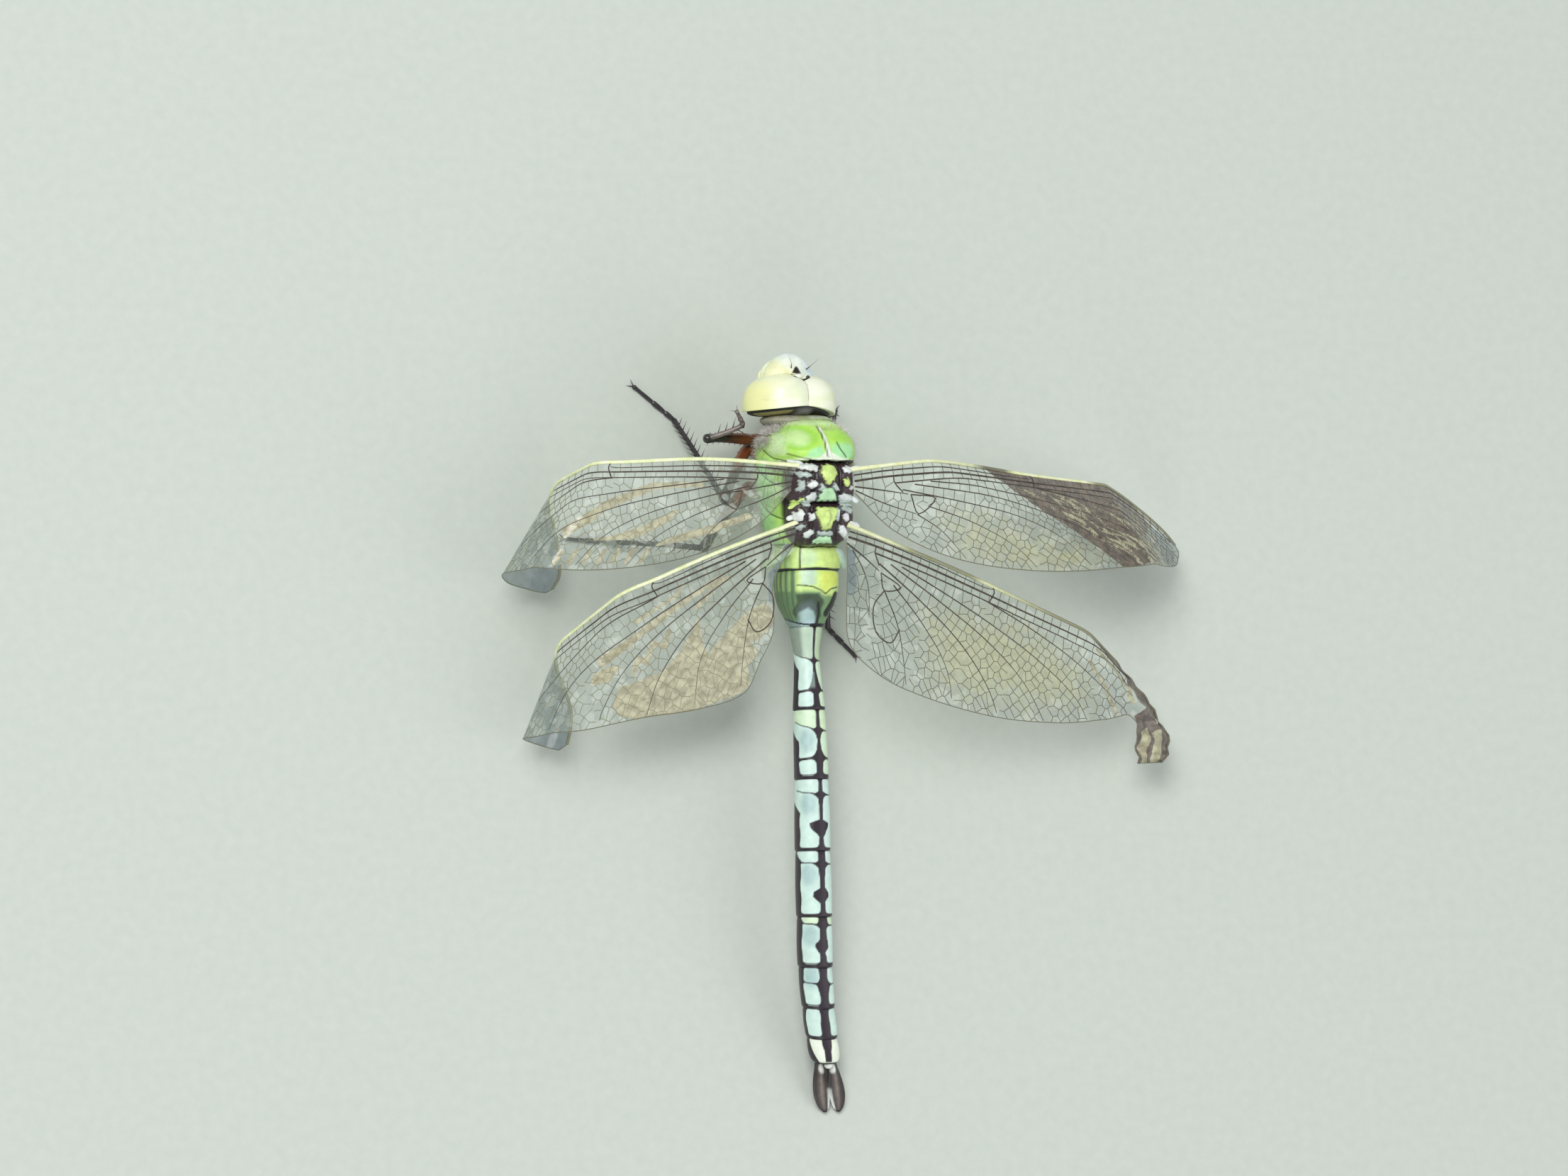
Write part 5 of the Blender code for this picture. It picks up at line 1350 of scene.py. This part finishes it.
streak_rng = random.Random(7)
for name, wing in WINGS.items():
    flat = []
    for station in np.linspace(0, 1, FILM_ALONG):
        front, back = edge_points(wing, station)
        flat += [front + (back - front) * share for share in np.linspace(0, 1, FILM_ACROSS)]
    flat = np.array(flat)
    sheet = folded(wing, flat).reshape(FILM_ALONG, FILM_ACROSS, 3)
    normals = np.cross(np.gradient(sheet, axis=0), np.gradient(sheet, axis=1)) * wing["side"]
    normals /= np.maximum(np.linalg.norm(normals, axis=2, keepdims=True), 1e-9)
    layers = [(sheet + normals * sign * FILM_THICKNESS / 2).reshape(-1, 3) for sign in (1, -1)]
    count = FILM_ALONG * FILM_ACROSS
    corners = [i * FILM_ACROSS + j for i in range(FILM_ALONG - 1) for j in range(FILM_ACROSS - 1)]
    faces = [(a, a + FILM_ACROSS, a + FILM_ACROSS + 1, a + 1) for a in corners]
    faces += [tuple(count + index for index in reversed(face)) for face in faces]
    loop = [*range(FILM_ACROSS), *range(2 * FILM_ACROSS - 1, count, FILM_ACROSS)]
    loop += [*range(count - 2, count - 1 - FILM_ACROSS, -1),
             *range(count - 2 * FILM_ACROSS, 0, -FILM_ACROSS)]
    faces += [(a, b, b + count, a + count) for a, b in zip(loop, loop[1:] + loop[:1])]
    if wing["side"] < 0:
        faces = [tuple(reversed(face)) for face in faces]
    film = add_piece(name + "_film", np.concatenate(layers), faces, film_finish, hinge_of(wing))
    out, back = (flat / wing["length"]).T
    marks = np.zeros((4, count))
    for kind, mark in zip(FILM_FIELDS, marks):
        for outline in FILM_PATCHES[name].get(kind, []):
            mark[:] = np.maximum(mark, area(out, back, outline, FILM_FIELDS[kind][0]))
    beige = marks[list(FILM_FIELDS).index("beige")]
    for path, width in GLARE_STREAKS.get(name, []):
        beige[:] = np.maximum(beige, stroke(out, back, path, width, 0.006))
    # Fine painted glints: thin streaks of reflected light over the right forewing's brown, shaded part.
    if name == "forewing_right":
        for _ in range(FINE_GLINTS):
            b, width = streak_rng.uniform(0.03, 0.19), streak_rng.uniform(0.003, 0.009)
            a = streak_rng.uniform(0.4 + 1.4 * b, 0.82)
            path = [(a, b), (a + 0.03, b + 0.01), (a + 0.055, b + 0.03), (a + 0.07, b + 0.055)]
            beige[:] = np.maximum(beige, 0.66 * stroke(out, back, path, width, 0.005))
    paint(film, *np.tile(marks, 2))
    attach(film, "root")
    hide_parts(name)

# Wing veins: strong ribs fanned out from the root, closer cross veins along the front edge, and a net
# of cells between the ribs. They are drawn flat, creased with the film, then given a thickness.
# Each rib is a line of (outward, rearward) shares of the wing's length, and its radius at the root.
RIBS = {
    "fore": {
        "subcosta": ([(0, 0.014), (0.1, 0.004), (0.25, -0.002), (0.4, 0.0), (0.5, 0.001), (0.515, -0.004)],
                     0.09),
        "radius": ([(0, 0.028), (0.1, 0.018), (0.25, 0.012), (0.5, 0.012), (0.8, 0.013), (0.92, 0.036),
                    (0.985, 0.08)], 0.12),
        "first_sector": ([(0.11, 0.034), (0.25, 0.027), (0.5, 0.026), (0.8, 0.031), (0.92, 0.06),
                          (0.975, 0.1)], 0.08),
        "second_sector": ([(0.5, 0.026), (0.6, 0.038), (0.75, 0.064), (0.88, 0.108), (0.955, 0.148)], 0.07),
        "between_sectors": ([(0.2, 0.032), (0.35, 0.048), (0.5, 0.064), (0.65, 0.09), (0.78, 0.137),
                             (0.86, 0.204)], 0.07),
        "third_sector": ([(0.16, 0.038), (0.35, 0.07), (0.5, 0.102), (0.62, 0.147), (0.7, 0.2),
                          (0.74, 0.236)], 0.07),
        "media": ([(0.13, 0.05), (0.3, 0.088), (0.42, 0.122), (0.52, 0.172), (0.6, 0.25)], 0.07),
        "rear_media": ([(0.19, 0.09), (0.3, 0.132), (0.4, 0.19), (0.46, 0.25)], 0.06),
        "cubitus": ([(0.16, 0.108), (0.22, 0.15), (0.28, 0.222)], 0.06),
        "stem": ([(0, 0.038), (0.08, 0.05), (0.15, 0.062)], 0.1),
        "anal": ([(0.01, 0.048), (0.08, 0.08), (0.16, 0.108)], 0.08),
    },
    "hind": {
        "subcosta": ([(0, 0.014), (0.1, 0.004), (0.25, 0.0), (0.4, 0.001), (0.43, -0.004)], 0.09),
        "radius": ([(0, 0.028), (0.1, 0.019), (0.25, 0.014), (0.5, 0.015), (0.8, 0.022), (0.92, 0.048),
                    (0.98, 0.086)], 0.13),
        "first_sector": ([(0.09, 0.036), (0.25, 0.03), (0.5, 0.032), (0.8, 0.042), (0.92, 0.074),
                          (0.97, 0.108)], 0.09),
        "second_sector": ([(0.42, 0.031), (0.55, 0.047), (0.7, 0.078), (0.85, 0.132), (0.93, 0.17)], 0.07),
        "between_sectors": ([(0.17, 0.04), (0.3, 0.056), (0.45, 0.08), (0.6, 0.115), (0.73, 0.168),
                             (0.8, 0.24)], 0.08),
        "third_sector": ([(0.14, 0.046), (0.3, 0.082), (0.45, 0.124), (0.57, 0.18), (0.65, 0.25),
                          (0.67, 0.28)], 0.08),
        "media": ([(0.11, 0.056), (0.25, 0.102), (0.38, 0.158), (0.48, 0.232), (0.54, 0.31)], 0.09),
        "rear_media": ([(0.16, 0.09), (0.27, 0.155), (0.36, 0.235), (0.41, 0.345)], 0.07),
        "cubitus": ([(0.14, 0.112), (0.2, 0.182), (0.24, 0.262), (0.275, 0.35)], 0.07),
        "stem": ([(0, 0.04), (0.06, 0.055), (0.12, 0.075)], 0.11),
        "anal": ([(0.03, 0.052), (0.07, 0.085), (0.1, 0.13), (0.12, 0.2)], 0.07),
    },
}
LOOPS = {  # short ribs that close the triangle, the arculus and the anal loop
    "fore": [[(0.11, 0.018), (0.112, 0.034), (0.13, 0.056)], [(0.15, 0.062), (0.21, 0.072), (0.165, 0.108),
                                                              (0.15, 0.062)],
             [(0.5, -0.014), (0.512, 0.0), (0.505, 0.026)]],
    "hind": [[(0.09, 0.019), (0.092, 0.036), (0.11, 0.06)], [(0.12, 0.075), (0.18, 0.088), (0.14, 0.112),
                                                             (0.12, 0.075)],
             [(0.14, 0.112), (0.122, 0.16), (0.145, 0.215), (0.19, 0.225), (0.205, 0.185)],
             [(0.42, -0.011), (0.432, 0.002), (0.425, 0.03)]],
}
CELL = {"fore": 0.84, "hind": 0.95}  # millimetres across a cell of the net
RUNG = 1.15  # millimetres between cross veins of the narrow fields along the front edge
CROSS_RADIUS, LOOP_RADIUS, REAR_RADIUS, COSTA_RADII = 0.036, 0.07, 0.05, [0.27, 0.22, 0.2, 0.15]
NET_PALE = {True: 0.25, False: 0.1}  # of the net's walls, with and without a plain tip
RIB_STEPS, RIB_EVERY, EDGE_STEPS, LEAST_RUN = 560, 5, 150, 12  # steps along a wing, and how many are kept
JITTER, LEAST_FIELD, LEAST_WALL = 0.16, 0.15, 0.06  # share of a cell; millimetres, below which none is drawn


def net_of(upper, lower, xs, cell, rng):
    """Walls of the cells of one field between two ribs, whose rearward places at xs are given."""
    points, mirrored = [], []
    slope_up, slope_low = np.gradient(upper, xs), np.gradient(lower, xs)
    along = xs[0] + 0.4 * cell
    while along < xs[-1]:
        high, low = np.interp(along, xs, upper), np.interp(along, xs, lower)
        rows = max(1, round((low - high) / cell))
        for row in range(rows):
            x = along + (0.5 * cell * (row % 2) if rows > 1 else 0.0) + rng.uniform(-JITTER, JITTER) * cell
            step = (low - high) / rows
            if low - high < LEAST_FIELD or not xs[0] < x < xs[-1]:
                continue
            shift = rng.uniform(-JITTER, JITTER) if rows > 1 else 0.0
            y = np.interp(x, xs, upper) + (row + 0.5 + shift) * step
            points.append((x, y))
            for line, slopes in ((upper, slope_up), (lower, slope_low)):
                tilt = math.atan(np.interp(x, xs, slopes))
                gap = (y - np.interp(x, xs, line)) * math.cos(tilt)
                ghost = (x + 2 * gap * math.sin(tilt), y - 2 * gap * math.cos(tilt))
                inside = np.interp(ghost[0], xs, upper) < ghost[1] < np.interp(ghost[0], xs, lower)
                if abs(gap) < 1.3 * cell and not (inside and xs[0] < ghost[0] < xs[-1]):
                    mirrored.append(ghost)
            for end in (xs[0], xs[-1]):
                if abs(x - end) < 2 * cell:
                    mirrored.append((2 * end - x, y))
        along += cell if rows > 1 else RUNG if cell < RUNG else cell
    if len(points) < 2:
        return []
    spread = [Vector(p) for p in points + mirrored]
    verts, _, triangles, origins, _, _ = geometry.delaunay_2d_cdt(spread, [], [], 0, 1e-5)
    real = [any(index < len(points) for index in origin) for origin in origins]
    centres, sharing = [], {}
    for k, (a, b, c) in enumerate(triangles):
        (ax, ay), (bx, by), (cx, cy) = verts[a], verts[b], verts[c]
        d = 2 * (ax * (by - cy) + bx * (cy - ay) + cx * (ay - by))
        d = d if abs(d) > 1e-9 else 1e-9
        sa, sb, sc = ax * ax + ay * ay, bx * bx + by * by, cx * cx + cy * cy
        centres.append(((sa * (by - cy) + sb * (cy - ay) + sc * (ay - by)) / d,
                        (sa * (cx - bx) + sb * (ax - cx) + sc * (bx - ax)) / d))
        for p, q in ((a, b), (b, c), (c, a)):
            if real[p] and real[q]:
                sharing.setdefault((min(p, q), max(p, q)), []).append(k)
    walls = []
    for pair in sharing.values():
        if len(pair) == 2:
            ends = []
            for x, y in (centres[pair[0]], centres[pair[1]]):
                x = min(max(x, xs[0]), xs[-1])
                ends.append((x, min(max(y, np.interp(x, xs, upper)), np.interp(x, xs, lower))))
            if LEAST_WALL < math.dist(*ends) < 3 * cell:
                walls.append(ends)
    return walls


def wing_lines(wing, rng):
    """Every rib and cell wall of one wing: a list of (points in millimetres, radii, how pale)."""
    length, kind, reach = wing["length"], wing["kind"], wing["reach"]
    fold, skew = wing["creases"][0][:2]

    def beyond(out, back):
        """Is a place on the bare flap past the outer crease? Only the left wings have one."""
        return (out - math.tan(math.radians(skew)) * back > fold + 0.02) & wing["plain_tip"]

    shares = np.linspace(0.012, reach, RIB_STEPS)
    rim = {}
    for key in ("lead", "trail"):
        rows = [(x, y) for _, x, y in wing[key] if x <= reach + 0.06]
        rows = [row for i, row in enumerate(rows) if all(row[0] > other[0] for other in rows[:i])]
        rim[key] = np.array([smooth(rows, x) for x in shares])
    lines, curves = [], {"lead": rim["lead"], "trail": rim["trail"]}
    for name, (path, radius) in RIBS[kind].items():
        inside = (shares >= path[0][0]) & (shares <= path[-1][0])
        curve = np.array([smooth(path, x) if ok else np.nan for x, ok in zip(shares, inside)])
        inside &= curve < rim["trail"] - 0.002
        curve = np.where(inside, np.maximum(curve, rim["lead"] + 0.003), np.nan)
        curves[name] = curve
        keep = np.flatnonzero(~np.isnan(curve) & ~beyond(shares, curve))[::RIB_EVERY]
        if len(keep) < 2:
            continue
        taper = np.linspace(1.0, 0.45, len(keep))
        lines.append((np.stack([shares[keep], curve[keep]], 1) * length, radius * taper, 0.0))
    names = list(curves)
    stack = np.array([curves[name] for name in names])
    order = np.argsort(np.where(np.isnan(stack), 9.0, stack), axis=0)
    fields = {}
    for column in range(len(shares)):
        active = [k for k in order[:, column] if not np.isnan(stack[k, column])]
        for a, b in zip(active, active[1:]):
            fields.setdefault((a, b), []).append(column)
    for (a, b), columns in fields.items():
        runs = np.split(columns, np.flatnonzero(np.diff(columns) > 1) + 1)
        for run in runs:
            if len(run) < LEAST_RUN:
                continue
            xs, upper, lower = shares[run] * length, stack[a, run] * length, stack[b, run] * length
            narrow = np.max(lower - upper) < 1.3 * CELL[kind]
            for wall in net_of(upper, lower, xs, CELL[kind] * (0.8 if narrow else 1.0), rng):
                if not beyond(wall[0][0] / length, wall[0][1] / length):
                    lines.append((np.array(wall), np.full(2, CROSS_RADIUS), NET_PALE[wing["plain_tip"]]))
    for path in LOOPS[kind]:
        curve = np.array(refined([(*p, 0) for p in path], 4))[:, :2] * length
        lines.append((curve, np.full(len(curve), LOOP_RADIUS), 0.0))
    stations = np.linspace(0, 1, EDGE_STEPS)
    costa, rear = zip(*(edge_points(wing, station) for station in stations))
    pale = np.interp(stations, *np.transpose(wing["costa_pale"]))
    lines.append((np.array(costa), np.interp(stations, [0, 0.1, 0.5, 1.0], COSTA_RADII), pale))
    lines.append((np.array(rear + costa[-1:]), np.full(EDGE_STEPS + 1, REAR_RADIUS), 0.15))
    return lines


vein_tree, given, result, vein_keys = start_tree("veins", Sides=("Int", 5), Finish=("Material", None))
radius = grow(vein_tree, "InputNamedAttribute", {"Name": "thickness"}, data_type="FLOAT")
curves = grow(vein_tree, "MeshToCurve", {0: given.outputs["Geometry"]})
sized = grow(vein_tree, "SetCurveRadius", {"Curve": curves, "Radius": radius})
profile = grow(vein_tree, "CurvePrimitiveCircle", {"Resolution": given.outputs["Sides"], "Radius": 1.0})
tube = grow(vein_tree, "CurveToMesh", {"Curve": sized, "Profile Curve": profile, "Scale": radius,
                                       "Fill Caps": True})
real = grow(vein_tree, "RealizeInstances", {0: tube})
faced = grow(vein_tree, "SetMaterial", {"Geometry": real, "Material": given.outputs["Finish"]})
vein_tree.links.new(faced, result.inputs[0])

vein_finish, tree, shader = start_finish("veins", Roughness=0.4)
pale = add_node(tree, "Attribute", {}, attribute_name="pale").outputs["Fac"]
spots = fit(tree, noise(tree, place_of(tree), 1500.0, 3.0), 0.35, 0.65)
brown = mix(tree, spots, tint(52, 44, 40), tint(84, 72, 60))
yellow = mix(tree, spots, tint(250, 252, 214), tint(232, 238, 176))
tree.links.new(mix(tree, pale, brown, yellow), shader.inputs["Base Color"])
emboss(tree, shader, noise(tree, place_of(tree), 6000.0), 0.00003, 0.5)

for number, (name, wing) in enumerate(WINGS.items()):
    points, edges, thickness, pale = [], [], [], []
    for path, radii, light in wing_lines(wing, random.Random(40 + number)):
        edges += [(len(points) + k, len(points) + k + 1) for k in range(len(path) - 1)]
        points += path.tolist()
        thickness += (np.asarray(radii) * MM).tolist()
        pale += np.broadcast_to(light, len(path)).tolist()
    attributes = {"thickness": ("FLOAT", thickness), "pale": ("FLOAT", pale)}
    veins = grown(name + "_veins", folded(wing, points), edges, attributes, vein_tree, vein_keys,
                  {"Sides": 5, "Finish": vein_finish}, hinge_of(wing))
    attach(veins, "root")

# ---------------------------------------------------------------------------------------------
# Hair: a fuzz of grey and white on the thorax's front corners and flanks, and a thin fringe
# behind the head. Each hair is a slim solid bristle rooted in the skin and combed back.
HAIR_FIELDS = [  # hairs, low and high y, low and high angle from the top, length, radius
    (1900, 7.15, 9.4, 48, 118, 1.0, 0.024), (900, 7.4, 10.2, -125, -58, 0.85, 0.02),
    (1500, 9.6, 18.8, 100, 172, 0.8, 0.02), (1500, 9.6, 18.8, -172, -100, 0.8, 0.02),
    (420, 7.7, 8.3, -60, 60, 0.55, 0.018), (260, 8.3, 11.0, -60, 60, 0.35, 0.014),
    (420, 11.4, 12.1, 36, 70, 0.7, 0.02), (320, 11.4, 12.1, -70, -36, 0.7, 0.02),
]
HAIR_SPREAD, HAIR_ROOT = 0.3, 0.985  # one deviation, of a field's span; where a root sits, of the skin's size
hair_finish, tree, shader = start_finish("hair", Roughness=0.55)
tones = fit(tree, noise(tree, place_of(tree), 2600.0, 1.0), 0.4, 0.6)
tree.links.new(mix(tree, tones, tint(206, 196, 190), tint(244, 242, 236)), shader.inputs["Base Color"])
rng = random.Random(11)
roots, aims, sizes, unwrap = [], [], [], []
for count, low_y, high_y, low_angle, high_angle, length, radius in HAIR_FIELDS:
    for _ in range(count):
        y = rng.gauss((low_y + high_y) / 2, HAIR_SPREAD * (high_y - low_y))
        y = min(max(y, THORAX[0][0] + 0.05), THORAX[-1][0])
        angle = rng.gauss((low_angle + high_angle) / 2, HAIR_SPREAD * (high_angle - low_angle))
        angle = math.radians(angle)
        width, top, bottom = read_row(THORAX, y)
        middle, half_width, half_height = (top + bottom) / 2, width / 2, (top - bottom) / 2
        sine, cosine = math.sin(angle), math.cos(angle)
        reach = 1 / ((abs(sine) ** THORAX_POWER + abs(cosine) ** THORAX_POWER) ** (1 / THORAX_POWER))
        x, z = reach * sine * half_width * HAIR_ROOT, middle + reach * cosine * half_height * HAIR_ROOT
        roots.append((x, y, z))
        out = Vector((sine / half_width, -0.25 if y < 8.6 else 0.0, cosine / half_height)).normalized()
        drift = Vector((rng.gauss(0, 0.25), 0.35 + rng.gauss(0, 0.25), rng.gauss(0, 0.25)))
        aims.append(tuple((out + drift).normalized()))
        sizes.append((length * rng.uniform(0.6, 1.2), radius))
        unwrap.append(((y - THORAX[0][0]) / (THORAX[-1][0] - THORAX[0][0]), 0.5 + angle / (2 * math.pi)))
lengths, radii = np.array(sizes).T
hair = bristles("thorax_hair", np.array(roots), aims, lengths, radii, np.array(unwrap), hair_finish)
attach(hair, "root")

# ---------------------------------------------------------------------------------------------
# Size of the finished model: its lowest and highest corner, in metres.
low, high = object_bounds()
